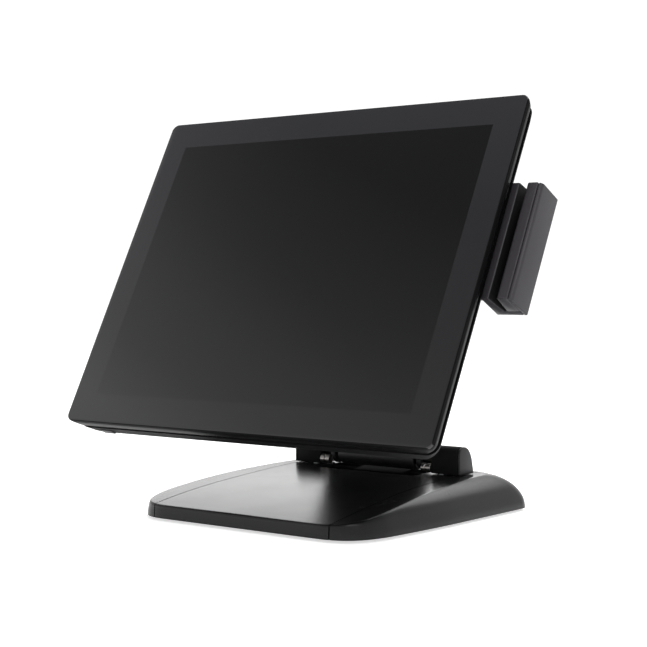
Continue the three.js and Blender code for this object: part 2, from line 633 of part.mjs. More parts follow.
const RAIL_IN = HALF_WIDTH - READER_OFFSET;
const SLOT_IN = RAIL_IN + READER_RAIL_WIDTH;
const SLOT_OUT = SLOT_IN + SLOT_MOUTH;
const READER_OUT = SLOT_OUT + READER_BODY_WIDTH;
const SLOT_LEAN = (SLOT_MOUTH - SLOT_FOOT) / 2;
const SLOT_BOTTOM = READER_FRONT_DEPTH + SLOT_DEPTH;
const READER_SPAN = [READER_BOTTOM, READER_BOTTOM + READER_LENGTH];
const COVER_SEAM = READER_OUT - READER_COVER_THICKNESS;
const HEAD_PLACE = READER_BOTTOM + READER_LENGTH / 2;
const HEAD_MIDDLE_DEPTH = READER_FRONT_DEPTH + SLOT_DEPTH * 0.72;

function slotWall(side, depth) {
  const lean = SLOT_LEAN * (depth - READER_FRONT_DEPTH) / SLOT_DEPTH;
  return side < 0 ? SLOT_IN + lean : SLOT_OUT - lean;
}

// An L of two walls: the guide rail beside the head, and the foot that closes the slot behind.
function readerGuide() {
  const outline = polygon([
    [RAIL_IN + 1, READER_FRONT_DEPTH], [SLOT_IN - READER_EDGE, READER_FRONT_DEPTH],
    [SLOT_IN, READER_FRONT_DEPTH + READER_EDGE],
    [slotWall(-1, SLOT_BOTTOM), SLOT_BOTTOM], [COVER_SEAM - GAP, SLOT_BOTTOM],
    [COVER_SEAM - GAP, READER_BACK_DEPTH], [RAIL_IN, READER_BACK_DEPTH], [RAIL_IN, READER_FRONT_DEPTH + 1],
  ]);
  return barZ(outline, READER_SPAN);
}

function readerHousing() {
  const outline = polygon([
    [SLOT_OUT + READER_EDGE, READER_FRONT_DEPTH], [COVER_SEAM - GAP, READER_FRONT_DEPTH],
    [COVER_SEAM - GAP, SLOT_BOTTOM - GAP], [slotWall(1, SLOT_BOTTOM - GAP), SLOT_BOTTOM - GAP],
    [SLOT_OUT, READER_FRONT_DEPTH + READER_EDGE],
  ]);
  const pocket = box([SLOT_OUT + 1.2, COVER_SEAM],
    [READER_FRONT_DEPTH + READER_WALL, SLOT_BOTTOM - READER_WALL],
    [READER_SPAN[0] + READER_END_WALL, READER_SPAN[1] - READER_END_WALL]);
  const window = box([SLOT_IN, SLOT_OUT + READ_HEAD_BACK + READ_HEAD_TRAVEL + GAP],
    [HEAD_MIDDLE_DEPTH - READ_HEAD_DEPTH / 2 - GAP, HEAD_MIDDLE_DEPTH + READ_HEAD_DEPTH / 2 + GAP],
    [HEAD_PLACE - READ_HEAD_LENGTH / 2 - GAP, HEAD_PLACE + READ_HEAD_LENGTH / 2 + GAP]);
  return barZ(outline, READER_SPAN).subtract(pocket).subtract(window);
}

function readerCover() {
  const outline = polygon([
    [COVER_SEAM, READER_FRONT_DEPTH], [READER_OUT - READER_CHAMFER, READER_FRONT_DEPTH],
    [READER_OUT, READER_FRONT_DEPTH + READER_CHAMFER], [READER_OUT, READER_BACK_DEPTH - READER_CHAMFER],
    [READER_OUT - READER_CHAMFER, READER_BACK_DEPTH], [COVER_SEAM, READER_BACK_DEPTH],
  ]);
  return barZ(outline, READER_SPAN);
}

// The magnetic head looks into the slot through its window, and gives way as a card passes.
function readHead() {
  const nose = slotWall(1, HEAD_MIDDLE_DEPTH) - 0.8;
  const back = SLOT_OUT + READ_HEAD_BACK;
  const half = READ_HEAD_DEPTH / 2;
  const outline = new THREE.Shape();
  outline.moveTo(back, HEAD_MIDDLE_DEPTH - half);
  outline.lineTo(back, HEAD_MIDDLE_DEPTH + half);
  outline.lineTo(nose + 1, HEAD_MIDDLE_DEPTH + half);
  outline.quadraticCurveTo(nose - 0.4, HEAD_MIDDLE_DEPTH, nose + 1, HEAD_MIDDLE_DEPTH - half);
  return barZ(outline, [HEAD_PLACE - READ_HEAD_LENGTH / 2, HEAD_PLACE + READ_HEAD_LENGTH / 2]);
}

// A filler block that follows the rear cover's side and carries the reader.
function readerBracket() {
  const edge = HALF_WIDTH - BEZEL_TAPER - COVER_EDGE_TAPER;
  const shoulder = HALF_WIDTH - COVER_SHOULDER_INSET[0];
  const front = (COVER_FRONT + COVER_EDGE_DEPTH) / 2;
  const clear = 0.5;
  const inset = 2;
  const outline = polygon([
    [RAIL_IN - GAP, front - inset], [RAIL_IN - GAP, READER_BACK_DEPTH - inset],
    [shoulder + inset, READER_BACK_DEPTH - inset], [shoulder + clear + 2.2, COVER_SHOULDER_DEPTH + 0.6],
    [edge + 1.1, COVER_EDGE_DEPTH + clear],
    [HALF_WIDTH - BEZEL_TAPER - COVER_EDGE_TAPER / 2 + 2.1, front - inset],
  ]);
  return barZ(outline, [READER_SPAN[0] + READER_ARM_SHORTER, READER_SPAN[1] - READER_ARM_SHORTER]);
}

// ---------------------------------------------------------------- hinges

// A steel plate screwed to the back of the head, with two ears that hold the upper axis.
function upperHingePlate() {
  const front = COVER_BACK_DEPTH + GAP;
  const back = front + HINGE_PLATE_THICKNESS;
  const [axisY, axisZ] = UPPER_AXIS;
  let body = barY(roundedRectangle(PLATE_HALF_WIDTH, HINGE_PLATE_HALF_HEIGHT, 6), [front, back], 4);
  body = body.translate([0, 0, axisZ]);
  for (const [, side] of SIDES) {
    const across = span(side, PLATE_EAR_PLACE, PLATE_EAR_PLACE + HINGE_PLATE_EAR);
    const bore = span(side, PLATE_EAR_PLACE - OVERCUT, PLATE_EAR_PLACE + HINGE_PLATE_EAR + OVERCUT);
    body = body.add(box(across, [front, axisY], [axisZ - EAR_RADIUS, axisZ + EAR_RADIUS]));
    body = body.add(rodX(EAR_RADIUS, across, axisY, axisZ));
    body = body.subtract(rodX(SHAFT_RADIUS + RUNNING, bore, axisY, axisZ));
  }
  for (const [x, z] of HINGE_SCREW_PLACES) {
    body = body.subtract(rodY(HINGE_SCREW_RADIUS + GAP, [front - OVERCUT, back + OVERCUT], x, z));
  }
  return body;
}

const ARM_HALF_WIDTH = NECK_HALF_WIDTH - NECK_WALL - ARM_CLEARANCE;

// A plain pin with a head at its inner end, lying along x on an axis at (y, z).
function shaft(side, outerEnd, y, z) {
  const inner = ARM_HALF_WIDTH - ARM_EAR_THICKNESS - GAP;
  const pin = rodX(SHAFT_RADIUS, span(side, inner, outerEnd), y, z);
  return pin.add(rodX(SHAFT_HEAD_RADIUS, span(side, inner - SHAFT_HEAD_THICKNESS, inner), y, z));
}

// The steel arm in the neck: a web between two side plates, with a bored ear at each end.
// The neck's own frame: y square to the neck, z from the lower axis to the upper one.
function neckArm(length) {
  const webHalf = ARM_HALF_WIDTH - ARM_EAR_THICKNESS / 2;
  let body = box(bothWays(webHalf), bothWays(ARM_WEB / 2), [EAR_RADIUS + 12, length - EAR_RADIUS - 8]);
  for (const [, side] of SIDES) {
    const across = span(side, ARM_HALF_WIDTH - ARM_EAR_THICKNESS, ARM_HALF_WIDTH);
    const bore = span(side, ARM_HALF_WIDTH - ARM_EAR_THICKNESS - OVERCUT, ARM_HALF_WIDTH + OVERCUT);
    body = body.add(box(across, bothWays(ARM_HALF_THICKNESS), [0, length]));
    for (const z of [0, length]) body = body.add(rodX(EAR_RADIUS, across, 0, z));
    for (const z of [0, length]) body = body.subtract(rodX(SHAFT_RADIUS + GAP, bore, 0, z));
  }
  return body.add(armBarrel());
}

// A tube round the lower axis, between the heads of the two pins, with the foot of the web on it.
function armBarrel() {
  const across = bothWays(ARM_HALF_WIDTH - ARM_EAR_THICKNESS - SHAFT_HEAD_THICKNESS - 2 * GAP);
  const bore = EAR_RADIUS - BARREL_WALL;
  const web = box(across, bothWays(ARM_WEB / 2), [bore + OVERCUT, EAR_RADIUS + 13]);
  const tube = rodX(EAR_RADIUS, across, 0, 0, 32);
  return tube.subtract(rodX(bore, bothWays(ARM_HALF_WIDTH), 0, 0)).add(web);
}

// Half of the neck's casing: a channel, closed on the side away from the arm.
function neckCover(side, length) {
  const outer = roundedRectangle(NECK_HALF_WIDTH, NECK_HALF_THICKNESS, 5);
  const body = barZ(outer, [LOWER_COVER_START, length - UPPER_COVER_END], 4);
  const inner = box(bothWays(NECK_HALF_WIDTH - NECK_WALL), bothWays(NECK_HALF_THICKNESS - NECK_WALL),
    [0, length]);
  const half = box(bothWays(NECK_HALF_WIDTH + OVERCUT), span(side, GAP / 2, NECK_HALF_THICKNESS + OVERCUT),
    [0, length]);
  return body.subtract(inner).intersect(half);
}

// ---------------------------------------------------------------- base

const BASE_HALF = BASE_WIDTH / 2;
const BASE_BACK = BASE_FRONT + BASE_DEPTH;
const HINGE_Y = BASE_FRONT + HINGE_SETBACK;
const HINGE_RISE = BASE_HEIGHT + HINGE_LIFT;
const BOSS_INNER = NECK_HALF_WIDTH + BOSS_CLEARANCE;
const BOSS_OUTER = BOSS_INNER + BOSS_WIDTH;
const BRACKET_PLACE = BOSS_INNER + BRACKET_INSET;
const WELL_HALF_WIDTH = BOSS_INNER - WELL_INSET;

// Plan outline of the base, drawn in by inset all round, and by shoulder on all sides but the front.
function baseOutline(inset, shoulder = 0) {
  const side = BASE_HALF - inset - shoulder;
  const [front, back] = [BASE_FRONT + inset, BASE_BACK - inset - shoulder];
  const radius = BASE_REAR_CORNER;
  const shape = new THREE.Shape();
  shape.moveTo(-side + 41, front);
  shape.lineTo(side - 41, front);
  shape.bezierCurveTo(side - 15, front, side - 7.5, front + 14.3, side - 4, front + 38.1);
  shape.quadraticCurveTo(side - 0.6, front + 78, side, front + 116);
  shape.lineTo(side, back - radius);
  shape.absarc(side - radius, back - radius, radius, 0, Math.PI / 2);
  shape.absarc(radius - side, back - radius, radius, Math.PI / 2, Math.PI);
  shape.lineTo(-side, front + 116);
  shape.quadraticCurveTo(-side + 0.6, front + 78, -side + 4, front + 38.1);
  shape.bezierCurveTo(-side + 7.5, front + 14.3, -side + 15, front, -side + 41, front);
  return shape;
}

// Height of the top along the middle of the base, and behind it the nearly level rear part.
function topProfile(inset) {
  const top = BASE_HEIGHT - inset;
  const shape = new THREE.Shape();
  shape.moveTo(BASE_FRONT + inset, -2 * OVERCUT);
  shape.lineTo(BASE_BACK - inset, -2 * OVERCUT);
  shape.lineTo(BASE_BACK - inset, top - 0.4);
  shape.lineTo(BASE_FRONT + 166, top - 1);
  shape.quadraticCurveTo(BASE_FRONT + 76, top - 4.4, BASE_FRONT + inset, BASE_FRONT_HEIGHT - inset);
  return shape;
}

function topHeight(y) {
  const t = Math.min(Math.max((y - BASE_FRONT - 166) / (BASE_DEPTH - 166), 0), 1);
  return BASE_HEIGHT - 1 + 0.6 * t;
}

function baseBody(inset, floor) {
  const steps = [0, 0.28, 0.48, 0.65, 0.79, 0.89, 0.96, 1];
  const shoulder = (rise) => BASE_SHOULDER * (1 - Math.sqrt(1 - rise * rise));
  const outlines = steps.map((rise) => baseOutline(inset, shoulder(rise)).getPoints(5).slice(0, -1));
  const levels = steps.map((rise) => (rise === 0 ? floor : rise * BASE_HEIGHT - inset));
  return solid(loft(outlines, levels)).intersect(barX(topProfile(inset), bothWays(BASE_HALF + OVERCUT), 10));
}

const BASE_SHELL = baseBody(0, 0).subtract(baseBody(BASE_WALL, -OVERCUT));

function seamBlock(shift) {
  const [front, back] = [BASE_FRONT - OVERCUT, BASE_BACK + OVERCUT];
  const [atFront, atBack] = [BASE_SEAM_FRONT + shift, BASE_SEAM_REAR + shift];
  const shape = new THREE.Shape();
  shape.moveTo(-atFront, front);
  shape.lineTo(atFront, front);
  shape.bezierCurveTo(atFront, front + 70, atBack, front + 80, atBack, front + 130);
  shape.lineTo(atBack, back);
  shape.lineTo(-atBack, back);
  shape.lineTo(-atBack, front + 130);
  shape.bezierCurveTo(-atBack, front + 80, -atFront, front + 70, -atFront, front);
  return barZ(shape, [-2 * OVERCUT, BASE_HEIGHT + OVERCUT], 6);
}

function baseTop() {
  const through = [BASE_HEIGHT - BASE_WALL - 4, BASE_HEIGHT + OVERCUT];
  const slotHalf = BRACKET_HALF_WIDTH + 0.5;
  let body = BASE_SHELL.intersect(seamBlock(-BASE_SEAM_GAP / 2));
  body = body.subtract(box(bothWays(WELL_HALF_WIDTH),
    [HINGE_Y - WELL_FRONT_REACH, HINGE_Y + WELL_BACK_REACH], through));
  for (const [, side] of SIDES) {
    body = body.subtract(box(span(side, BRACKET_PLACE - 2, BRACKET_PLACE + BRACKET_THICKNESS + 10.8),
      [HINGE_Y - slotHalf, HINGE_Y + slotHalf], through));
  }
  return body;
}

function sideRail(side) {
  const half = box(span(side, 0, BASE_HALF + OVERCUT), [BASE_FRONT - OVERCUT, BASE_BACK + OVERCUT],
    [-OVERCUT, BASE_HEIGHT + OVERCUT]);
  return BASE_SHELL.subtract(seamBlock(BASE_SEAM_GAP / 2)).intersect(half);
}

function basePlate() {
  return barZ(baseOutline(BASE_WALL + BASE_PLATE_CLEARANCE), [0, BASE_PLATE_THICKNESS]);
}

function ballastWeight() {
  const [width, depth, height] = BALLAST_SIZE;
  const low = BASE_PLATE_THICKNESS + GAP;
  const front = BASE_FRONT + BALLAST_SETBACK;
  return box(bothWays(width / 2), [front, front + depth], [low, low + height]);
}

function foot(x, y) {
  return rodZ(FOOT_RADIUS, [-FOOT_HEIGHT - GAP, -GAP], x, y);
}

const FOOT_X = BASE_HALF - FOOT_INSET;
const FOOT_FRONT = BASE_FRONT + FOOT_INSET + 6;
const FOOT_BACK = BASE_BACK - FOOT_INSET;
const FOOT_PLACES = [[FOOT_X, FOOT_FRONT], [-FOOT_X, FOOT_FRONT], [-FOOT_X, FOOT_BACK], [FOOT_X, FOOT_BACK]];

// Side view of a hinge housing: flat in front, rounded over the top, leaning in at the back.
function bossProfile(inset, floor) {
  const front = HINGE_Y - BOSS_FRONT_REACH + inset;
  const back = HINGE_Y + BOSS_BACK_REACH - inset;
  const top = HINGE_RISE + BOSS_TOP_REACH - inset;
  const shape = new THREE.Shape();
  shape.moveTo(front, floor);
  shape.lineTo(back, floor);
  shape.lineTo(back - 1.6, HINGE_RISE - 2);
  shape.quadraticCurveTo(back - 4.3, top - 0.8, HINGE_Y - 2, top);
  shape.quadraticCurveTo(front, top, front, top - 6);
  return shape;
}

function hingeCover(side) {
  const floor = topHeight(HINGE_Y) + 2 * GAP;
  const outer = barX(bossProfile(0, floor), span(side, BOSS_INNER, BOSS_OUTER));
  const hollow = barX(bossProfile(BOSS_WALL, floor - OVERCUT),
    span(side, BOSS_INNER + BOSS_WALL, BOSS_OUTER + OVERCUT));
  const through = span(side, BOSS_INNER - OVERCUT, BOSS_INNER + BOSS_WALL + OVERCUT);
  const [dy, dz] = TENSION_SCREW_OFFSET;
  const shaftHole = rodX(SHAFT_RADIUS + 2 * GAP, through, HINGE_Y, HINGE_RISE);
  const screwHole = rodX(TENSION_SCREW_RADIUS / 2 + GAP, through,
    HINGE_Y + dy + TENSION_SHANK_SHIFT, HINGE_RISE + dz);
  return outer.subtract(hollow).subtract(shaftHole).subtract(screwHole);
}

function hingeCap(side) {
  const floor = topHeight(HINGE_Y) + 2 * GAP;
  return barX(bossProfile(0, floor), span(side, BOSS_OUTER + GAP, BOSS_OUTER + GAP + CAP_THICKNESS));
}

// A bright collar beside each housing, with a thin shank that goes in through the housing's wall.
function tensionScrew(side) {
  const [dy, dz] = TENSION_SCREW_OFFSET;
  const [y, z] = [HINGE_Y + dy, HINGE_RISE + dz];
  const collar = rodX(TENSION_SCREW_RADIUS,
    span(side, BOSS_INNER - TENSION_SCREW_REACH, BOSS_INNER - GAP), y, z);
  const shank = rodX(TENSION_SCREW_RADIUS / 2, span(side, BOSS_INNER - 2, BRACKET_PLACE - GAP),
    y + TENSION_SHANK_SHIFT, z, 16);
  return collar.add(shank);
}

function lowerBracket(side) {
  const low = BASE_PLATE_THICKNESS + GAP;
  const across = span(side, BRACKET_PLACE, BRACKET_PLACE + BRACKET_THICKNESS);
  const depth = [HINGE_Y - BRACKET_HALF_WIDTH, HINGE_Y + BRACKET_HALF_WIDTH];
  const through = span(side, BRACKET_PLACE - OVERCUT, BRACKET_PLACE + BRACKET_THICKNESS + OVERCUT);
  const upright = box(across, depth, [low, HINGE_RISE]);
  const ear = rodX(BRACKET_HALF_WIDTH, across, HINGE_Y, HINGE_RISE);
  const sole = box(span(side, BRACKET_PLACE, BRACKET_PLACE + BRACKET_FOOT),
    [depth[0] - 8, depth[1] + 8], [low, low + BRACKET_THICKNESS]);
  const bore = rodX(SHAFT_RADIUS + RUNNING, through, HINGE_Y, HINGE_RISE);
  return upright.add(ear).add(sole).subtract(bore);
}

const WASHER_PLACE = BRACKET_PLACE + BRACKET_THICKNESS + GAP;
const NUT_PLACE = WASHER_PLACE + WASHER_THICKNESS + GAP;

// The pin of the base hinge with its six-sided nut, which is riveted on and turns with it.
function lowerShaft(side, outerEnd) {
  const nut = rodX(NUT_RADIUS, span(side, NUT_PLACE, NUT_PLACE + NUT_THICKNESS), HINGE_Y, HINGE_RISE, 6);
  return shaft(side, outerEnd, HINGE_Y, HINGE_RISE).add(nut);
}

function frictionWasher(side) {
  const end = WASHER_PLACE + WASHER_THICKNESS;
  const disc = rodX(WASHER_RADIUS, span(side, WASHER_PLACE, end), HINGE_Y, HINGE_RISE, 20);
  return disc.subtract(rodX(SHAFT_RADIUS + RUNNING, span(side, WASHER_PLACE - OVERCUT, end + OVERCUT),
    HINGE_Y, HINGE_RISE));
}

// A low wedge in the well between the housings; the cables from the neck pass under it.
function cableGuide() {
  const front = HINGE_Y - GUIDE_LENGTH / 3;
  const top = topHeight(HINGE_Y);
  const back = front + GUIDE_LENGTH * 0.82;
  const nose = top - GUIDE_NOSE_DROP;
  const low = nose - GUIDE_THICKNESS;
  const outline = polygon([[front, low], [back, low], [back, top - 0.2], [front + 1, nose], [front, nose - 1]]);
  return barX(outline, bothWays(GUIDE_HALF_WIDTH));
}

// ---------------------------------------------------------------- assembly

const terminal = new THREE.Group();
terminal.name = 'terminal';
const stand = new THREE.Group();
const neck = new THREE.Group();
const head = new THREE.Group();
terminal.add(stand);
stand.add(neck, head);
stand.position.z = FOOT_HEIGHT + GAP;

// The head stands at its tilt, with the screen's centre over the origin of the stand.
const tilt = THREE.MathUtils.degToRad(SCREEN_TILT);
head.position.set(0, 0, SCREEN_CENTRE_HEIGHT);
head.rotation.x = -tilt;
const upperY = UPPER_AXIS[0] * Math.cos(tilt) + UPPER_AXIS[1] * Math.sin(tilt);
const upperZ = SCREEN_CENTRE_HEIGHT - UPPER_AXIS[0] * Math.sin(tilt) + UPPER_AXIS[1] * Math.cos(tilt);

// The neck runs from the lower axis to the upper one.
const neckLength = Math.hypot(upperY - HINGE_Y, upperZ - HINGE_RISE);
neck.position.set(0, HINGE_Y, HINGE_RISE);
neck.rotation.x = -Math.atan2(upperY - HINGE_Y, upperZ - HINGE_RISE);

add(head, 'touch_glass', touchGlass(), COVER_GLASS);
add(head, 'glass_gasket', glassGasket(), BLACK_RUBBER);
add(head, 'front_bezel', frontBezel(), BEZEL_PLASTIC);
add(head, 'display_panel', displayPanel(), DISPLAY_BACK);
add(head, 'main_chassis', mainChassis(), ZINC_SHEET);
add(head, 'mainboard', mainboard(), BOARD_GREEN);
add(head, 'cpu_heatsink', cpuHeatsink(), FIN_ALUMINIUM);
add(head, 'memory_module', memoryModule(), BOARD_GREEN);
add(head, 'drive_tray', driveTray(), ZINC_SHEET);
add(head, 'storage_drive', storageDrive(), BLACK_STEEL);
for (const [name, side] of SIDES) add(head, `speaker_${name}`, speaker(side), DARK_PLASTIC);
add(head, 'rear_cover', rearCover(), COVER_PLASTIC);
add(head, 'io_panel', ioPanel(), ZINC_SHEET);
for (const port of PORTS) add(head, port.name, connector(port), BLACK_STEEL);
add(head, 'cable_cover', cableCover(), COVER_PLASTIC);
add(head, 'power_button', powerButton(), CAP_PLASTIC);
COVER_SCREW_PLACES.forEach((place, i) => {
  const screw = screwY(COVER_SCREW_RADIUS, COVER_BACK_DEPTH + GAP, 10, place);
  add(head, `cover_screw_${i + 1}`, screw, BLACK_STEEL);
});
add(head, 'upper_hinge_plate', upperHingePlate(), BLACK_STEEL);
const plateBack = COVER_BACK_DEPTH + 2 * GAP + HINGE_PLATE_THICKNESS;
HINGE_SCREW_PLACES.forEach((place, i) => {
  add(head, `hinge_screw_${i + 1}`, screwY(HINGE_SCREW_RADIUS, plateBack, 14, place), BRIGHT_STEEL);
});

add(head, 'reader_bracket', readerBracket(), COVER_PLASTIC);
add(head, 'reader_guide', readerGuide(), BASE_PLASTIC);
add(head, 'reader_housing', readerHousing(), BASE_PLASTIC);
add(head, 'reader_cover', readerCover(), BASE_PLASTIC);
add(head, 'read_head', readHead(), BRIGHT_STEEL);

add(neck, 'neck_arm', neckArm(neckLength), BLACK_STEEL);
add(neck, 'neck_cover_front', neckCover(-1, neckLength), COVER_PLASTIC);
add(neck, 'neck_cover_rear', neckCover(1, neckLength), COVER_PLASTIC);
for (const [name, side] of SIDES) {
  const lowerEnd = NUT_PLACE + NUT_THICKNESS + 1;
  const upperEnd = NECK_HALF_WIDTH + HINGE_PLATE_EAR + 3;
  add(neck, `upper_shaft_${name}`, shaft(side, upperEnd, 0, neckLength), BRIGHT_STEEL);
  add(stand, `lower_shaft_${name}`, lowerShaft(side, lowerEnd), BRIGHT_STEEL);
  add(stand, `friction_washer_${name}`, frictionWasher(side), BRIGHT_STEEL);
  add(stand, `lower_bracket_${name}`, lowerBracket(side), ZINC_SHEET);
  add(stand, `tension_screw_${name}`, tensionScrew(side), BRIGHT_STEEL);
  add(stand, `hinge_cover_${name}`, hingeCover(side), COVER_PLASTIC);
  add(stand, `hinge_cap_${name}`, hingeCap(side), CAP_PLASTIC);
  add(stand, `side_rail_${name}`, sideRail(side), BASE_PLASTIC);
}

add(stand, 'base_top', baseTop(), BASE_PLASTIC);
add(stand, 'base_plate', basePlate(), BLACK_STEEL);
add(stand, 'ballast_weight', ballastWeight(), CAST_IRON);
add(stand, 'cable_guide', cableGuide(), COVER_PLASTIC);
FOOT_PLACES.forEach(([x, y], i) => add(stand, `foot_${i + 1}`, foot(x, y), BLACK_RUBBER));

// The origin goes under the middle of the whole object.
terminal.updateMatrixWorld(true);
const middle = new THREE.Box3().setFromObject(terminal, true).getCenter(new THREE.Vector3());
terminal.position.set(-middle.x, -middle.y, 0);

export default terminal;
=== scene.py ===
# %% [markdown]
# # A point-of-sale touchscreen terminal
# The terminal arrives as a finished engineering model: every part has its real size and place, and the
# joints are already known. This lesson gives it its looks. Parts whose shape is already right only get
# a better finish. Parts that show their facets get a finer piece, built here on the same sizes.

import json
import math

import bmesh
import bpy
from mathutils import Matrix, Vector

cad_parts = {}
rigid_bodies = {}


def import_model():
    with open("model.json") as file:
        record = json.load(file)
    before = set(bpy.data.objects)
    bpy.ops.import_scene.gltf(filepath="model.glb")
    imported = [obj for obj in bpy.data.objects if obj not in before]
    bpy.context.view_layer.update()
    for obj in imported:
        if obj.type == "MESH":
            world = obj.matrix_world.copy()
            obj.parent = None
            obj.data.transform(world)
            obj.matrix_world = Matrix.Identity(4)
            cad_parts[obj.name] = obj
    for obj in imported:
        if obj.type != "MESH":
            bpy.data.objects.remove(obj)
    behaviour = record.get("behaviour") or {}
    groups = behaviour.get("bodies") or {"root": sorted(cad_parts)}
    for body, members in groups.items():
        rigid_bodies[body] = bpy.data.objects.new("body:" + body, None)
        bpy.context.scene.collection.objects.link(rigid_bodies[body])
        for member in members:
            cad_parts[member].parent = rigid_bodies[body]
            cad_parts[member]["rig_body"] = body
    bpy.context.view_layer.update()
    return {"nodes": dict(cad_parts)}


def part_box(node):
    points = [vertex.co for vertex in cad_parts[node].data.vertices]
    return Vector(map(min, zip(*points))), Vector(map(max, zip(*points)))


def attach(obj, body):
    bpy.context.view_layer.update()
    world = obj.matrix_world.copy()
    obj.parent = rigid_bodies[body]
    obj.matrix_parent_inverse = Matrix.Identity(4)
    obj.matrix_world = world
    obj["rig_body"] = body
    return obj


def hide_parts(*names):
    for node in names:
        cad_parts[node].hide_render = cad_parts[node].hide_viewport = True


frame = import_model()
nodes = frame["nodes"]

# %% [markdown]
# ## Units and directions
# Drawings of such a product are in millimetres, and Blender works in metres, so one factor turns the
# first into the second. The head leans back, so its parts are described in its own directions: across
# the glass, into the depth behind it, and up it. The neck leans forward and has its own directions too.

# %% Millimetres, and the directions of head and neck
MM = 0.001
SCREEN_TILT = math.radians(27.2)
ACROSS = Vector((1, 0, 0))
INTO_HEAD = Vector((0, math.cos(SCREEN_TILT), -math.sin(SCREEN_TILT)))
UP_GLASS = Vector((0, math.sin(SCREEN_TILT), math.cos(SCREEN_TILT)))

GLASS_THICKNESS = 3
glass_low, glass_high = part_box("touch_glass")
GLASS_FACE = (glass_low + glass_high) / 2 - INTO_HEAD * (GLASS_THICKNESS / 2 * MM)
print("middle of the glass:", [round(value / MM, 1) for value in GLASS_FACE], "mm")


def on_head(across, depth, up):
    """A point of the head, in millimetres from the middle of the glass's face."""
    return GLASS_FACE + (ACROSS * across + INTO_HEAD * depth + UP_GLASS * up) * MM


# %% [markdown]
# ## Camera
# The terminal is looked at from its right-hand side, from just above the table, through a long lens.
# A long lens keeps the two sides of the head nearly parallel, which is how products are usually shown.

# %% Camera
camera = bpy.data.objects.new("camera", bpy.data.cameras.new("camera"))
bpy.context.scene.collection.objects.link(camera)
bpy.context.scene.camera = camera
camera.location = (0.72184, -0.94625, 0.18128)
camera.rotation_euler = (math.radians(90 - 1.47), 0, math.radians(38.02))
camera.data.lens = 84.3
camera.data.sensor_width = 36
camera.data.clip_end = 50
print("camera distance:", round(camera.location.length, 3), "m")

# %% [markdown]
# ## Colours and one helper for nodes
# A hex colour is written for a screen, and Blender mixes light in linear values, so one function
# converts. Material nodes all need the same three steps: make the node, set its values, link its
# inputs. One helper does these steps, for any kind of node.

# %% Colour and node helpers


def linear(text, alpha=1.0):
    """A hex colour such as #1b1c1e, as the linear values that Blender mixes."""
    parts = [int(text[i:i + 2], 16) / 255 for i in (1, 3, 5)]
    curve = [part / 12.92 if part <= 0.04045 else ((part + 0.055) / 1.055) ** 2.4 for part in parts]
    return (*curve, alpha)


def add_node(tree, kind, settings=None, links=None):
    """Adds a node. A setting is an input's value, or a property where no input has that name."""
    made = tree.nodes.new(kind)
    for name, value in (settings or {}).items():
        if isinstance(name, int) or name in made.inputs:
            made.inputs[name].default_value = value
        else:
            setattr(made, name, value)
    for name, source in (links or {}).items():
        tree.links.new(source, made.inputs[name])
    return made


def new_material(name):
    """A material with its output, and a point in space that stays with the object."""
    material = bpy.data.materials.new(name)
    material.use_nodes = True
    tree = material.node_tree
    tree.nodes.clear()
    output = add_node(tree, "ShaderNodeOutputMaterial")
    place = add_node(tree, "ShaderNodeTexCoord").outputs["Object"]
    return material, tree, output, place


def spread(tree, value, low, high):
    """Stretches a value that runs from 0 to 1, so that it runs from low to high."""
    made = add_node(tree, "ShaderNodeMapRange", {"To Min": low, "To Max": high}, {"Value": value})
    return made.outputs["Result"]


# %% [markdown]
# ## Studio
# A black product shows little colour of its own: what the eye sees is mostly its surroundings in its
# skin. So the surroundings come first. The room is white up to about 25 degrees above the table
# and gets darker towards the ceiling, which puts a soft slope of light on the glass. A pale table runs
# under everything. A lamp hangs overhead. A wide panel behind on the left shines along the top of the
# base, a narrower one straight behind draws the line along the base's ridge, and a soft one in front
# on the right draws the thin bright lines along rounded edges.

# %% Room
world = bpy.data.worlds.new("studio")
bpy.context.scene.world = world
world.use_nodes = True
sky = world.node_tree
sky.nodes.clear()
direction = add_node(sky, "ShaderNodeTexCoord").outputs["Generated"]
height = add_node(sky, "ShaderNodeSeparateXYZ", links={"Vector": direction}).outputs["Z"]
ramp = add_node(sky, "ShaderNodeValToRGB", links={"Fac": height})
SKY_STOPS = [(0.0, 1.1), (0.42, 1.1), (0.5, 0.78), (0.58, 0.62), (0.66, 0.4), (0.76, 0.2), (1.0, 0.22)]
while len(ramp.color_ramp.elements) < len(SKY_STOPS):
    ramp.color_ramp.elements.new(0.5)
for element, (stop, level) in zip(ramp.color_ramp.elements, SKY_STOPS):
    element.position = stop
    element.color = (level, level, level, 1)
background = add_node(sky, "ShaderNodeBackground", {"Strength": 1.0}, {"Color": ramp.outputs["Color"]})
add_node(sky, "ShaderNodeOutputWorld", links={"Surface": background.outputs["Background"]})
bpy.context.scene.view_settings.view_transform = "Standard"
print("brightness by height:", SKY_STOPS)

# %% Table
table_material, tree, output, place = new_material("white_table")
shader = add_node(tree, "ShaderNodeBsdfPrincipled", {
    "Base Color": linear("#eeeeee"), "Roughness": 0.8,
    "Emission Color": (1, 1, 1, 1), "Emission Strength": 0.62})
tree.links.new(shader.outputs["BSDF"], output.inputs["Surface"])
TABLE_HALF = 14
corners = [(-TABLE_HALF, -TABLE_HALF, 0), (TABLE_HALF, -TABLE_HALF, 0),
           (TABLE_HALF, TABLE_HALF, 0), (-TABLE_HALF, TABLE_HALF, 0)]
table_mesh = bpy.data.meshes.new("table_top")
table_mesh.from_pydata(corners, [], [(0, 1, 2, 3)])
table_mesh.materials.append(table_material)
table_top = bpy.data.objects.new("table_top", table_mesh)
bpy.context.scene.collection.objects.link(table_top)

# %% Lamps


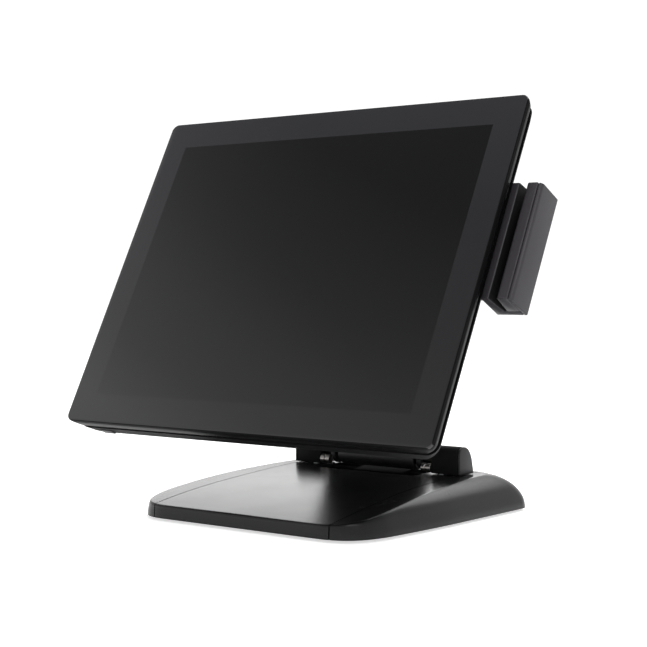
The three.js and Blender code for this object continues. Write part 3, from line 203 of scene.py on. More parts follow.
def panel_lamp(name, place, aim, width, height, power):
    """A flat lamp of that width and height in metres, turned towards aim."""
    data = bpy.data.lights.new(name, "AREA")
    data.shape = "RECTANGLE"
    data.size = width
    data.size_y = height
    data.energy = power
    lamp = bpy.data.objects.new(name, data)
    lamp.location = place
    lamp.rotation_euler = (Vector(aim) - Vector(place)).to_track_quat("-Z", "Y").to_euler()
    bpy.context.scene.collection.objects.link(lamp)


panel_lamp("overhead", (0.1, 0.25, 2.0), (0, 0, 0.1), 1.6, 1.6, 22)
panel_lamp("behind", (0.1, 1.9, 1.55), (0, 0, 0.05), 1.3, 0.5, 9)
panel_lamp("behind_left", (-1.9, 2.0, 1.05), (0, 0, 0.1), 2.0, 0.9, 11)
panel_lamp("front_right", (1.18, -0.63, 1.22), (0.05, -0.05, 0.1), 1.0, 0.8, 8)
print("lamps:", [lamp.name for lamp in bpy.data.lights])

# %% [markdown]
# ## Plastic
# Nearly everything that shows is moulded ABS. Its skin copies the tool it was moulded in: a fine
# spark-eroded grain, which spreads reflections into a soft sheen. The grain is made from noise with
# cells of a real grain's size, which goes into the bump and, more gently, into the roughness. A second,
# much larger noise stands for the traces of handling: the sheen is never quite the same all over.
# The same recipe serves all the plastics, with other colours, grain sizes and sheens.

# %% Moulded plastic recipe


def moulded_plastic(name, colour, lighter, roughness, grain, relief, sheen=0.5, handling=55):
    """A plastic with a moulded grain. Grain, relief and handling are in millimetres.

    Roughness is a low and a high value."""
    material, tree, output, place = new_material(name)
    fine = add_node(tree, "ShaderNodeTexNoise",
                    {"Scale": 1 / (grain * MM), "Detail": 3.0, "Roughness": 0.6}, {"Vector": place})
    traces = add_node(tree, "ShaderNodeTexNoise",
                      {"Scale": 1 / (handling * MM), "Detail": 4.0, "Roughness": 0.55}, {"Vector": place})
    shades = add_node(tree, "ShaderNodeValToRGB", links={"Fac": fine.outputs["Fac"]})
    shades.color_ramp.elements[0].position = 0.25
    shades.color_ramp.elements[0].color = linear(colour)
    shades.color_ramp.elements[1].position = 0.8
    shades.color_ramp.elements[1].color = linear(lighter)
    mixed = add_node(tree, "ShaderNodeMath", {"operation": "MULTIPLY_ADD", 1: 0.35, 2: 0.0},
                     {0: fine.outputs["Fac"]})
    total = add_node(tree, "ShaderNodeMath", {"operation": "MULTIPLY_ADD", 1: 0.65},
                     {0: traces.outputs["Fac"], 2: mixed.outputs["Value"]})
    gloss = spread(tree, total.outputs["Value"], roughness[0], roughness[1])
    bump = add_node(tree, "ShaderNodeBump", {"Strength": 0.35, "Distance": relief * MM},
                    {"Height": fine.outputs["Fac"]})
    shader = add_node(tree, "ShaderNodeBsdfPrincipled", {"IOR": 1.53, "Specular IOR Level": sheen},
                      {"Base Color": shades.outputs["Color"], "Roughness": gloss,
                       "Normal": bump.outputs["Normal"]})
    tree.links.new(shader.outputs["BSDF"], output.inputs["Surface"])
    return material


# %% The plastics of this terminal
# ABS, spark-eroded and then lightly blasted: satin, brightest where light grazes it.
BASE_ABS = moulded_plastic("satin_abs_of_the_base", "#0b0b0c", "#101011", (0.2, 0.31), 0.5, 0.03, 0.2)
# ABS with a fine blasted grain: greyer and duller, so that finger marks don't show.
READER_ABS = moulded_plastic("grained_abs_of_the_reader", "#272528", "#333135", (0.3, 0.44), 0.6, 0.06,
                             0.26)
# ABS from a half-polished tool: smooth and very dark, so that it frames the glass like a shadow.
BEZEL_ABS = moulded_plastic("smooth_abs_of_the_bezel", "#0b0b0c", "#101011", (0.24, 0.36), 0.5, 0.01,
                            0.03)
# ABS with a coarser grain, as on backs and undersides that nobody touches: matt and dark.
COVER_ABS = moulded_plastic("matt_abs_of_the_covers", "#0c0c0d", "#131314", (0.5, 0.68), 0.8, 0.08, 0.08)
# ABS of another batch for the small caps at the ends of the hinge: a shade lighter than its neighbours.
CAP_ABS = moulded_plastic("grey_abs_of_the_caps", "#161517", "#1d1c1f", (0.34, 0.48), 0.5, 0.03, 0.25)
# Glass-filled nylon of the connectors: nearly black and dull. On the card slot's walls it is painted
# shade.
NYLON_AND_SLOT_SHADE = moulded_plastic("black_nylon_and_painted_slot_shade", "#0c0c0d", "#131314", (0.5, 0.7), 0.3, 0.03, 0.1)
plastics = (BASE_ABS, READER_ABS, BEZEL_ABS, COVER_ABS, CAP_ABS, NYLON_AND_SLOT_SHADE)
print("plastics:", [material.name for material in plastics])

# %% [markdown]
# ## Cover glass
# The front is one sheet of strengthened glass. Its border is printed in dark grey ink on the back, and
# the picture shows through the clear middle. Switched off, the picture is darker than the ink, because
# the display swallows light. Glass, ink and dark display are one surface here: a mirror-smooth coat
# over two dark colours, with the edge of the ink placed by the distance from the glass's middle. The
# ink's colour is painted lighter towards the top, a painted highlight for the room's light from above.
# The ground rim isn't polished, so it is dull. A finger leaves faint grease, so the polish varies over
# a hand's width.

# %% Printed glass
PICTURE_HALF = (152.05, 114.05)
PRINT_BLUR = 0.25
EDGE_FROM = 23.2


def distance_past(tree, place, along, half):
    """How far a point lies past the picture's edge in that direction, in millimetres."""
    middle = GLASS_FACE.dot(along)
    reach = add_node(tree, "ShaderNodeVectorMath", {"operation": "DOT_PRODUCT", 1: along}, {0: place})
    offset = add_node(tree, "ShaderNodeMath", {"operation": "SUBTRACT", 1: middle},
                      {0: reach.outputs["Value"]})
    size = add_node(tree, "ShaderNodeMath", {"operation": "ABSOLUTE"}, {0: offset.outputs["Value"]})
    return add_node(tree, "ShaderNodeMath", {"operation": "MULTIPLY_ADD", 1: 1 / MM, 2: -half},
                    {0: size.outputs["Value"]}).outputs["Value"]


PRINTED_GLASS, tree, output, place = new_material("printed_cover_glass")
past_side = distance_past(tree, place, ACROSS, PICTURE_HALF[0])
past_end = distance_past(tree, place, UP_GLASS, PICTURE_HALF[1])
furthest = add_node(tree, "ShaderNodeMath", {"operation": "MAXIMUM"}, {0: past_side, 1: past_end})
ink = add_node(tree, "ShaderNodeMapRange", {"From Min": -PRINT_BLUR, "From Max": PRINT_BLUR},
               {"Value": furthest.outputs["Value"]}).outputs["Result"]
edge = add_node(tree, "ShaderNodeMapRange", {"From Min": EDGE_FROM, "From Max": EDGE_FROM + 0.3},
                {"Value": furthest.outputs["Value"]}).outputs["Result"]
printed = add_node(tree, "ShaderNodeMath", {"operation": "SUBTRACT"}, {0: ink, 1: edge})
# Painted light: the ink is real print, but its colour runs from #121213 at the bottom to #29292c at the
# top, a painted highlight for the room's light from above.
rise = add_node(tree, "ShaderNodeVectorMath", {"operation": "DOT_PRODUCT", 1: UP_GLASS}, {0: place})
low_end, high_end = (on_head(0, 0, level).dot(UP_GLASS) for level in (-138, 138))
share = add_node(tree, "ShaderNodeMapRange", {"From Min": low_end, "From Max": high_end},
                 {"Value": rise.outputs["Value"]})
ink_with_painted_top_light = add_node(tree, "ShaderNodeValToRGB", links={"Fac": share.outputs["Result"]})
ink_with_painted_top_light.color_ramp.elements[0].color = linear("#121213")
ink_with_painted_top_light.color_ramp.elements[1].color = linear("#29292c")
colour = add_node(tree, "ShaderNodeMix", {"data_type": "RGBA", 6: linear("#0a0a0b")},
                  {0: printed.outputs["Value"], 7: ink_with_painted_top_light.outputs["Color"]})
grease = add_node(tree, "ShaderNodeTexNoise", {"Scale": 1 / (70 * MM), "Detail": 5.0}, {"Vector": place})
polish = spread(tree, grease.outputs["Fac"], 0.03, 0.11)
rough = add_node(tree, "ShaderNodeMath", {"operation": "MULTIPLY_ADD", 1: 0.5}, {0: edge, 2: polish})
mirror = spread(tree, edge, 0.5, 0.04)
shader = add_node(tree, "ShaderNodeBsdfPrincipled", {"IOR": 1.5},
                  {"Base Color": colour.outputs[2], "Roughness": rough.outputs["Value"],
                   "Specular IOR Level": mirror})
tree.links.new(shader.outputs["BSDF"], output.inputs["Surface"])
print("picture:", [2 * half for half in PICTURE_HALF], "mm")

# %% [markdown]
# ## Metals
# The hinge parts are steel. Turned steel keeps fine rings from the lathe and a bright face; sheet steel
# is zinc plated, with a cloudy pattern of crystals; painted steel is black and finely pebbled. A metal
# has no colour but that of its reflections, so its base colour is how strongly it reflects.

# %% Metal recipe


def metal(name, colour, lighter, roughness, cell, relief, metallic=1.0):
    """A metal whose shade, polish and relief follow one noise with cells of that size in millimetres."""
    material, tree, output, place = new_material(name)
    cells = add_node(tree, "ShaderNodeTexNoise",
                     {"Scale": 1 / (cell * MM), "Detail": 5.0, "Roughness": 0.6}, {"Vector": place})
    shades = add_node(tree, "ShaderNodeValToRGB", links={"Fac": cells.outputs["Fac"]})
    shades.color_ramp.elements[0].color = linear(colour)
    shades.color_ramp.elements[1].color = linear(lighter)
    gloss = spread(tree, cells.outputs["Fac"], roughness[0], roughness[1])
    bump = add_node(tree, "ShaderNodeBump", {"Strength": 0.4, "Distance": relief * MM},
                    {"Height": cells.outputs["Fac"]})
    shader = add_node(tree, "ShaderNodeBsdfPrincipled", {"Metallic": metallic},
                      {"Base Color": shades.outputs["Color"], "Roughness": gloss,
                       "Normal": bump.outputs["Normal"]})
    tree.links.new(shader.outputs["BSDF"], output.inputs["Surface"])
    return material


# %% The metals of this terminal
# Nickel-plated steel: a slightly warm grey, with a nearly even polish.
NICKEL = metal("nickel_plated_steel", "#8f8c89", "#b3b0ad", (0.24, 0.36), 1.5, 0.01)
# Phosphated steel of the hinge pins: dark grey and oily, so that it hides in the shadow of the hinge.
PHOSPHATE = metal("phosphated_steel", "#1c1b1b", "#2c2a29", (0.4, 0.55), 1.2, 0.02)
# Zinc-plated sheet: grey, with soft cloudy patches.
ZINC = metal("zinc_plated_sheet", "#8f9296", "#b4b7ba", (0.3, 0.5), 6, 0.01)
# Powder coat: a thick black paint whose skin is pebbled like an orange's, and not metallic to the eye.
POWDER = metal("black_powder_coat", "#0c0c0d", "#141415", (0.42, 0.6), 0.9, 0.12, 0.0)
# Extruded aluminium of the heat sink: pale and brushed dull.
ALUMINIUM = metal("extruded_aluminium", "#9ea1a4", "#bdbfc1", (0.32, 0.48), 2.5, 0.02)
# Cast iron: dark, rough and dull, straight from the sand.
IRON = metal("sand_cast_iron", "#3a3a3c", "#525254", (0.6, 0.85), 1.8, 0.2)
metals = (NICKEL, PHOSPHATE, ZINC, POWDER, ALUMINIUM, IRON)
print("metals:", [material.name for material in metals])

# %% [markdown]
# ## Rubber, foam and circuit board
# The feet are black rubber, dull and a little dusty. The gasket under the glass is foam, which is duller
# still. The circuit boards carry green solder mask over copper tracks: the tracks show as a fine
# lighter pattern of straight lines under the green lacquer.

# %% Rubber and foam
RUBBER = moulded_plastic("moulded_rubber", "#121213", "#202021", (0.7, 0.9), 0.7, 0.08, 0.3)
FOAM = moulded_plastic("closed_cell_foam", "#0b0b0c", "#161617", (0.85, 0.98), 0.4, 0.1, 0.02)

# %% Circuit board
BOARD, tree, output, place = new_material("green_solder_mask")
tracks = add_node(tree, "ShaderNodeTexBrick", {
    "Scale": 1 / (6 * MM), "Color1": linear("#0d3a24"), "Color2": linear("#124a2e"),
    "Mortar": linear("#1d6240"), "Mortar Size": 0.03, "Brick Width": 1.4, "Row Height": 0.35},
    {"Vector": place})
lacquer = add_node(tree, "ShaderNodeTexNoise", {"Scale": 1 / (12 * MM)}, {"Vector": place})
gloss = spread(tree, lacquer.outputs["Fac"], 0.25, 0.4)
bump = add_node(tree, "ShaderNodeBump", {"Strength": 0.3, "Distance": 0.03 * MM},
                {"Height": tracks.outputs["Fac"]})
shader = add_node(tree, "ShaderNodeBsdfPrincipled", {"IOR": 1.52},
                  {"Base Color": tracks.outputs["Color"], "Roughness": gloss,
                   "Normal": bump.outputs["Normal"]})
tree.links.new(shader.outputs["BSDF"], output.inputs["Surface"])
print("board:", BOARD.name)

# %% [markdown]
# ## Making a piece
# Most finer pieces are a skin drawn through rings of points, as a boat's hull is drawn through its
# frames. Others are a side view drawn out to a length. Real moulded and turned parts have no razor
# edges, so every piece gets small rounded edges, which also catch the thin lines of light that make a
# dark object readable. Shading is smooth across gentle bends and stays crisp at real edges.

# %% Skins, bars and rounded edges


def rounded_rectangle(half_width, half_height, radius, steps=10):
    """Points round a rectangle with rounded corners, anticlockwise."""
    points = []
    for turn, (side, level) in enumerate(((1, -1), (1, 1), (-1, 1), (-1, -1))):
        for step in range(steps + 1):
            angle = math.radians(90 * (turn - 1) + 90 * step / steps)
            points.append((side * (half_width - radius) + radius * math.cos(angle),
                           level * (half_height - radius) + radius * math.sin(angle)))
    return points


def skin(rings, joined=False):
    """A closed mesh through rings of points: capped at both ends, or with its ends joined."""
    mesh = bmesh.new()
    rows = [[mesh.verts.new(point) for point in ring] for ring in rings]
    for low, high in zip(rows, rows[1:] + (rows[:1] if joined else [])):
        for i in range(len(low)):
            j = (i + 1) % len(low)
            mesh.faces.new((low[i], low[j], high[j], high[i]))
    if not joined:
        mesh.faces.new(list(reversed(rows[0])))
        mesh.faces.new(rows[-1])
    bmesh.ops.recalc_face_normals(mesh, faces=mesh.faces)
    return mesh


def round_edges(mesh, width, steps=2, sharper_than=30):
    """Rounds each edge where two faces meet at more than that angle. Width is in millimetres."""
    limit = math.radians(sharper_than)
    sharp = [edge for edge in mesh.edges if len(edge.link_faces) == 2 and edge.calc_face_angle() > limit]
    bmesh.ops.bevel(mesh, geom=sharp, offset=width * MM, segments=steps, profile=0.5, affect="EDGES")
    return mesh


def add_piece(name, mesh, material, body, stands_for, crisp=32):
    """Puts the mesh in the scene as a piece that moves with a body and stands for CAD nodes."""
    data = bpy.data.meshes.new(name)
    mesh.to_mesh(data)
    mesh.free()
    data.materials.append(material)
    data.shade_smooth()
    data.set_sharp_from_angle(angle=math.radians(crisp))
    piece = bpy.data.objects.new(name, data)
    bpy.context.scene.collection.objects.link(piece)
    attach(piece, body)
    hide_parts(*stands_for)
    print(name, "has", len(data.polygons), "faces")
    return piece


# %% [markdown]
# ## The glass and its bezel
# The glass's edge is ground round. Behind it the bezel is one moulded frame: it starts a hair behind
# the glass, slopes in, has a crease two thirds of the way back, and ends in a recessed lip that hides
# in the shadow gap. Its section is drawn once, and rings of that section run round the head.

# %% Glass
GLASS_HALF = (176, 138)
EDGE_ROUND = 0.8


def head_ring(inset, inset_height, depth, radius, steps=10):
    """A rounded rectangle at that depth of the head, drawn in from the glass's edges."""
    outline = rounded_rectangle(GLASS_HALF[0] - inset, GLASS_HALF[1] - inset_height, radius, steps)
    return [on_head(across, depth, up) for across, up in outline]


glass_rings = []
for step in range(5):
    angle = math.radians(90 * step / 4)
    inset = EDGE_ROUND * (1 - math.sin(angle))
    glass_rings.append(head_ring(inset, inset, EDGE_ROUND * (1 - math.cos(angle)), 6 - inset))
glass_rings.append(head_ring(0, 0, GLASS_THICKNESS - 0.3, 6))
glass_rings.append(head_ring(0.3, 0.3, GLASS_THICKNESS, 5.7))
add_piece("cover_glass_plate", skin(glass_rings), PRINTED_GLASS, "head", ["touch_glass"])

# %% Bezel
# Each row is inset across, inset up the glass, depth, and corner radius, from the front round the back.
BEZEL_SECTION = [
    # the front face behind the glass's edge, with both its edges rounded
    (3.1, 3.1, 4.1, 6), (3.1, 3.1, 3.45, 6), (2.95, 2.95, 3.3, 6), (0.5, 0.3, 3.3, 6),
    (0.3, 0.1, 3.45, 6.1), (0.28, 0.03, 3.8, 6.2),
    # the first slope, the crease, and the slope behind it, which draws in faster
    (1.35, 0.1, 7.0, 6.8), (1.62, 0.13, 7.7, 6.9), (1.8, 0.15, 8.2, 7),
    (2.1, 0.18, 8.8, 7.2), (3.15, 0.27, 10.6, 7.8), (3.35, 0.33, 10.9, 7.9), (3.7, 0.6, 11, 7.9),
    # the recessed lip, and the way back along the inside
    (8, 5, 11, 6), (8, 5, 13.1, 6), (8.3, 5.3, 13.4, 6), (12.2, 12.2, 13.4, 2), (12.2, 12.2, 4.1, 2),
]
bezel_rings = [head_ring(*row) for row in BEZEL_SECTION]
add_piece("front_bezel_frame", skin(bezel_rings, joined=True), BEZEL_ABS, "head", ["front_bezel"],
          crisp=40)

# %% [markdown]
# ## Rear cover
# The back of the head is a deep tray with its corners drawn in towards a flat centre. It is made as two
# nested skins, outside and inside, so it has a real wall. Every crease between two slopes gets a soft
# bend, as a vacuum-formed or moulded tray has. Then the openings are cut: vents on the upper slope, the
# connector bay, screw holes, and a hole for the power button.

# %% Cutting tools


def block(place, width, depth, height):
    """A box in the head's directions. Each range is a pair of millimetre values."""
    corners = [(x, z) for x, z in ((width[0], height[0]), (width[1], height[0]),
                                   (width[1], height[1]), (width[0], height[1]))]
    return skin([[place(x, level, z) for x, z in corners] for level in depth])


def hidden(mesh):
    """A loose object for cutting, made from one or several meshes."""
    data = bpy.data.meshes.new("cutter")
    mesh.to_mesh(data)
    mesh.free()
    made = bpy.data.objects.new("cutter", data)
    bpy.context.scene.collection.objects.link(made)
    return made


def joined(meshes):
    """Several meshes as one."""
    total = bmesh.new()
    for mesh in meshes:
        data = bpy.data.meshes.new("part")
        mesh.to_mesh(data)
        mesh.free()
        total.from_mesh(data)
        bpy.data.meshes.remove(data)
    return total


def carve(mesh, steps):
    """Adds to a mesh, cuts from it or keeps what is common, step by step, and gives the new mesh."""
    target = hidden(mesh)
    tools = []
    for operation, tool in steps:
        tools.append(hidden(tool))
        modifier = target.modifiers.new("carve", "BOOLEAN")
        modifier.operation = operation
        modifier.solver = "EXACT"
        modifier.object = tools[-1]
    bpy.context.view_layer.update()
    result = target.evaluated_get(bpy.context.evaluated_depsgraph_get()).to_mesh()
    made = bmesh.new()
    made.from_mesh(result)
    for thing in [target, *tools]:
        data = thing.data
        bpy.data.objects.remove(thing)
        bpy.data.meshes.remove(data)
    return made


# %% Rear cover
WALL = 2.6
COVER_SECTIONS = [(3.1, 0.1, 13.8, 9), (11.5, 0.7, 27, 11), (26, 12, 34, 16), (58, 42, 56, 18)]
INSIDE_FRONT = 12.5


def soft_bends(rows, reach, steps=3):
    """Rows of section values, with the corner at each inner row replaced by a short curve."""
    made = [rows[0]]
    for before, corner, after in zip(rows, rows[1:], rows[2:]):
        ends = []
        for other in (before, after):
            length = math.dist(corner[:3], other[:3])
            share = min(reach / length, 0.45)
            ends.append([c + (o - c) * share for c, o in zip(corner, other)])
        for step in range(steps + 1):
            t = step / steps
            made.append([a * (1 - t) ** 2 + 2 * c * t * (1 - t) + b * t * t
                         for a, c, b in zip(ends[0], corner, ends[1])])
    made.append(rows[-1])
    return made


def cover_skin(inset, front, bend):
    """The cover's outer form, drawn in on every side by inset, from that front depth to the back."""
    rows = [(COVER_SECTIONS[0][0] + inset, COVER_SECTIONS[0][1] + inset, front, 9)]
    rows += [(across + inset, up + inset, depth, max(radius - inset, 3))
             for across, up, depth, radius in COVER_SECTIONS[1:3]]
    across, up, depth, radius = COVER_SECTIONS[3]
    rows.append((across + inset, up + inset, depth - inset, radius - inset))
    rows.append((across + inset + 12, up + inset + 12, depth - inset, max(radius - inset - 8, 3)))
    return skin([head_ring(*row, steps=8) for row in soft_bends(rows, bend)])


BAY_HALF = 75
BAY_ROOF = -92
BAY_FLOOR = 31
BELOW_HEAD = -142
BEHIND_HEAD = 60
SOCKET_OPENING = (31.6, 50.9)
bay = block(on_head, (-BAY_HALF, BAY_HALF), (BAY_FLOOR, BEHIND_HEAD), (BELOW_HEAD, BAY_ROOF))
bay_walls = block(on_head, (-BAY_HALF - WALL, BAY_HALF + WALL), (BAY_FLOOR - WALL, BEHIND_HEAD + 2),
                  (BELOW_HEAD, BAY_ROOF + WALL))
sockets = block(on_head, (-BAY_HALF + 4, BAY_HALF - 4), SOCKET_OPENING,
                (BAY_ROOF - 1, BAY_ROOF + WALL + 1))
hollow = carve(cover_skin(WALL, INSIDE_FRONT, 6), [("DIFFERENCE", bay_walls)])
shell = carve(cover_skin(0, COVER_SECTIONS[0][2], 7), [
    ("DIFFERENCE", hollow), ("DIFFERENCE", bay), ("DIFFERENCE", sockets)])

# %% Vents and holes
VENT_PITCH = 12
VENT_COUNT = 15
VENT_HALF = (1.6, 8.2)
VENT_MIDDLE = 111.4
VENT_DEPTHS = (33, 58)


def drilled(place, across, up, radius, depth, steps=20):
    """A round drill through the head, from one depth to another."""
    circle = [(across + radius * math.cos(2 * math.pi * i / steps),
               up + radius * math.sin(2 * math.pi * i / steps)) for i in range(steps)]
    return skin([[place(x, level, z) for x, z in circle] for level in depth])


vents = []
for i in range(VENT_COUNT):
    middle = (i - (VENT_COUNT - 1) / 2) * VENT_PITCH
    outline = rounded_rectangle(*VENT_HALF, VENT_HALF[0] - 0.01, 5)
    rings = [[on_head(middle + x, level, VENT_MIDDLE + z) for x, z in outline] for level in VENT_DEPTHS]
    vents.append(skin(rings))
COVER_SCREWS = [(-105, -83), (105, -83)]
HINGE_SCREWS = [(50, 7.5), (-50, 7.5), (-50, -67.5), (50, -67.5)]
COVER_HOLE = 1.8
HINGE_HOLE = 2.3
HOLE_DEPTHS = (40, 58)
BUTTON_HOLE = ((-152.4, -139.6), (17, 23.8), (BELOW_HEAD, -130))
holes = [drilled(on_head, x, z, COVER_HOLE, HOLE_DEPTHS) for x, z in COVER_SCREWS]
holes += [drilled(on_head, x, z, HINGE_HOLE, HOLE_DEPTHS) for x, z in HINGE_SCREWS]
cover = carve(shell, [("DIFFERENCE", joined(vents)), ("DIFFERENCE", joined(holes)),
                      ("DIFFERENCE", block(on_head, *BUTTON_HOLE))])
add_piece("rear_cover_shell", cover, COVER_ABS, "head", ["rear_cover"])

# %% [markdown]
# ## The base
# The base is a low shield: its sides round over like a quarter of an ellipse, and its top is a long
# sloping surface that runs from a thin front edge up to the hinge. Where the slope cuts the rounded
# side there is a ridge, sharp at the front and fading towards the rear. The form is drawn as rings that
# climb the side, turn over the ridge in a small curve, and carry on inwards, and the middle is filled
# with a grid. The same form, a wall's thickness smaller, is then cut out of it from below.

# %% Sizes of the base
top_low, top_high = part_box("base_top")
rail_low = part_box("side_rail_left")[0]
rail_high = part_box("side_rail_right")[1]
BASE_MIDDLE = (rail_low.x + rail_high.x) / 2
BASE_HALF = (rail_high.x - rail_low.x) / 2 / MM
BASE_DEPTH = (max(top_high.y, rail_high.y) - top_low.y) / MM
BASE_HEIGHT = 28.4
FRONT_HEIGHT = 10.3
SHOULDER = 30
LEVEL_FROM = 166
BASE_WALL = 2.5
RIDGE_ROUND = 1.6
print("base:", round(2 * BASE_HALF, 1), "by", round(BASE_DEPTH, 1), "mm")


def on_base(across, back, up):
    """A point of the base, in millimetres from the middle of its front edge and its underside."""
    return Vector((BASE_MIDDLE + across * MM, top_low.y + back * MM, top_low.z + up * MM))


# %% Plan and slope


def curve_point(points, t):
    """A point on the Bezier curve with those control points."""
    while len(points) > 1:
        points = [[a + (b - a) * t for a, b in zip(p, q)] for p, q in zip(points, points[1:])]
    return points[0]


SIDE_STEPS = [("nose", 22), ("flank", 12), ("straight", 8), ("corner", 14)]
SIDE_SPOTS = [(part, step / count) for part, count in SIDE_STEPS for step in range(count)]
SIDE_SPOTS.append(("corner", 1.0))
REAR_RADIUS = 17


def side_point(spot, inset, shoulder):
    """Half width, and distance from the front edge, at a spot along the base's side."""
    part, t = spot
    side = BASE_HALF - inset - shoulder
    rear = BASE_DEPTH - inset - shoulder
    radius = REAR_RADIUS
    if part == "nose":
        return curve_point([(side - 41, inset), (side - 15, inset), (side - 7.5, inset + 14.3),
                            (side - 4, inset + 38.1)], t)
    if part == "flank":
        return curve_point([(side - 4, inset + 38.1), (side - 0.6, inset + 78), (side, inset + 116)], t)
    if part == "straight":
        return curve_point([(side, inset + 116), (side, rear - radius)], t)
    angle = math.pi / 2 * t
    return (side - radius + radius * math.cos(angle), rear - radius + radius * math.sin(angle))


def slope_height(back, inset):
    """Height of the sloping top at a distance from the front edge."""
    top = BASE_HEIGHT - inset
    if back >= LEVEL_FROM:
        return top - 1 + 0.6 * (back - LEVEL_FROM) / (BASE_DEPTH - inset - LEVEL_FROM)
    curve = [(inset, FRONT_HEIGHT - inset), (76, top - 4.4), (LEVEL_FROM, top - 1)]
    low, high = 0.0, 1.0
    for _ in range(30):
        middle = (low + high) / 2
        low, high = (middle, high) if curve_point(curve, middle)[0] < back else (low, middle)
    return curve_point(curve, low)[1]


def bisect(too_low, low, high):
    """The value between low and high at which too_low turns false."""
    for _ in range(30):
        middle = (low + high) / 2
        low, high = (middle, high) if too_low(middle) else (low, middle)
    return low


# %% Rings over the side


def climb(spot, column, inset, floor, round_over):
    """Points from the floor up the side, over the ridge and in over the top, at one spot of the plan."""
    def shoulder(rise):
        return SHOULDER * (1 - math.sqrt(max(0.0, 1 - rise * rise)))

    def place(draw_in, push_back, up=None):
        half, back = side_point(spot, inset, draw_in)
        back += push_back
        height = slope_height(back, inset) if up is None else up
        return Vector((-half + 2 * half * column, back, height))

    def wall(rise):
        return place(shoulder(rise), 0, rise * BASE_HEIGHT - inset)

    start = max(0.0, (floor + inset) / BASE_HEIGHT)
    ridge = bisect(lambda rise: wall(rise).z < place(shoulder(rise), 0).z, start, 1.0)
    push = 10 * max(0.0, 1 - place(0, 0).y / 60) ** 2
    drawn = shoulder(ridge)

    def top(share):
        return place(drawn + (SHOULDER - drawn) * share, push * share)

    turn = wall(ridge)
    if round_over:
        before = bisect(lambda rise: (wall(rise) - turn).length > round_over, start, ridge)
        after = bisect(lambda share: (top(share) - turn).length < round_over, 0.0, 0.7)
    else:
        before, after = ridge - 0.01, 0.01
    first, last = wall(before), top(after)
    points = [wall(start + (before - start) * k / 12) for k in range(12)]
    points[0].z = floor
    for t in (0, 0.25, 0.5, 0.75, 1):
        points.append(first * (1 - t) ** 2 + turn * 2 * t * (1 - t) + last * t * t)
    return points + [top(after + (1 - after) * k / 7) for k in range(1, 8)]


def base_form(inset, floor, round_over):
    """The base's form, drawn in on every side by inset, closed underneath at that height."""
    columns, rows = 36, len(SIDE_SPOTS) - 1
    spots = [(0, c) for c in range(columns + 1)] + [(r, columns) for r in range(1, rows + 1)]
    spots += [(rows, c) for c in range(columns - 1, -1, -1)] + [(r, 0) for r in range(rows - 1, 0, -1)]
    climbs = [climb(SIDE_SPOTS[r], c / columns, inset, floor, round_over) for r, c in spots]
    mesh = bmesh.new()
    rings = [[mesh.verts.new(on_base(*point)) for point in level] for level in zip(*climbs)]
    for low, high in zip(rings, rings[1:]):
        for i in range(len(low)):
            j = (i + 1) % len(low)
            mesh.faces.new((low[i], low[j], high[j], high[i]))
    mesh.faces.new(list(reversed(rings[0])))
    rim = dict(zip(spots, rings[-1]))
    ends = dict(zip(spots, [points[-1] for points in climbs]))
    grid = {}
    for r in range(rows + 1):
        left, right = ends[(r, 0)], ends[(r, columns)]
        for c in range(columns + 1):
            if (r, c) in rim:
                grid[(r, c)] = rim[(r, c)]
            else:
                point = left.lerp(right, c / columns)
                grid[(r, c)] = mesh.verts.new(on_base(point.x, point.y, slope_height(point.y, inset)))
    for r in range(rows):
        for c in range(columns):
            mesh.faces.new((grid[(r, c)], grid[(r, c + 1)], grid[(r + 1, c + 1)], grid[(r + 1, c)]))
    bmesh.ops.recalc_face_normals(mesh, faces=mesh.faces)
    return mesh


# %% [markdown]
# ## Three mouldings, two seams
# The base isn't one moulding. A middle piece carries the hinge, and a rail snaps on at each side. The
# seams between them curve gently inwards. A tall slice with the seam's outline splits the form: what is
# inside the slice is the middle, and what is outside is a rail. The slices leave a millimetre of air.

# %% Seams
SEAM_GAP = 1.0
SEAM_FRONT = 84.9
SEAM_REAR = 79.8


def seam_slice(shift):
    """A tall slice whose sides follow the two seams, moved outwards by shift."""
    wide, narrow = SEAM_FRONT + shift, SEAM_REAR + shift
    bend = [(wide, -1), (wide, 69), (narrow, 79), (narrow, 129)]
    right = [curve_point(bend, step / 24) for step in range(25)] + [(narrow, BASE_DEPTH + 1)]
    outline = right + [(-x, y) for x, y in reversed(right)]
    return skin([[on_base(x, y, level) for x, y in outline] for level in (-2, 32)])


def side_slice(side):
    """Everything on one side of the base's middle."""
    near, far = sorted((0, side * (BASE_HALF + 5)))
    return block(on_base, (near, far), (-2, BASE_DEPTH + 2), (-2, 32))


HINGE_BACK = 180.8
THROUGH_TOP = (21.9, 30)
WELL_HALF = 50
WELL_REACH = (24, 9.5)
BRACKET_HOLE = (60, 76.8)
BRACKET_REACH = 7
base_cuts = [block(on_base, (-WELL_HALF, WELL_HALF),
                   (HINGE_BACK - WELL_REACH[0], HINGE_BACK + WELL_REACH[1]), THROUGH_TOP)]
for side in (-1, 1):
    across = sorted(side * edge for edge in BRACKET_HOLE)
    base_cuts.append(block(on_base, across, (HINGE_BACK - BRACKET_REACH, HINGE_BACK + BRACKET_REACH),
                           THROUGH_TOP))
middle = carve(base_form(0, 0, RIDGE_ROUND), [
    ("DIFFERENCE", base_form(BASE_WALL, -1, 0)), ("INTERSECT", seam_slice(-SEAM_GAP / 2)),
    ("DIFFERENCE", joined(base_cuts))])
add_piece("base_middle", middle, BASE_ABS, "base", ["base_top"])
for side, word in ((-1, "left"), (1, "right")):
    rail = carve(base_form(0, 0, RIDGE_ROUND), [
        ("DIFFERENCE", base_form(BASE_WALL, -1, 0)), ("DIFFERENCE", seam_slice(SEAM_GAP / 2)),
        ("INTERSECT", side_slice(side))])
    add_piece(f"base_rail_{word}", rail, BASE_ABS, "base", [f"side_rail_{word}"])

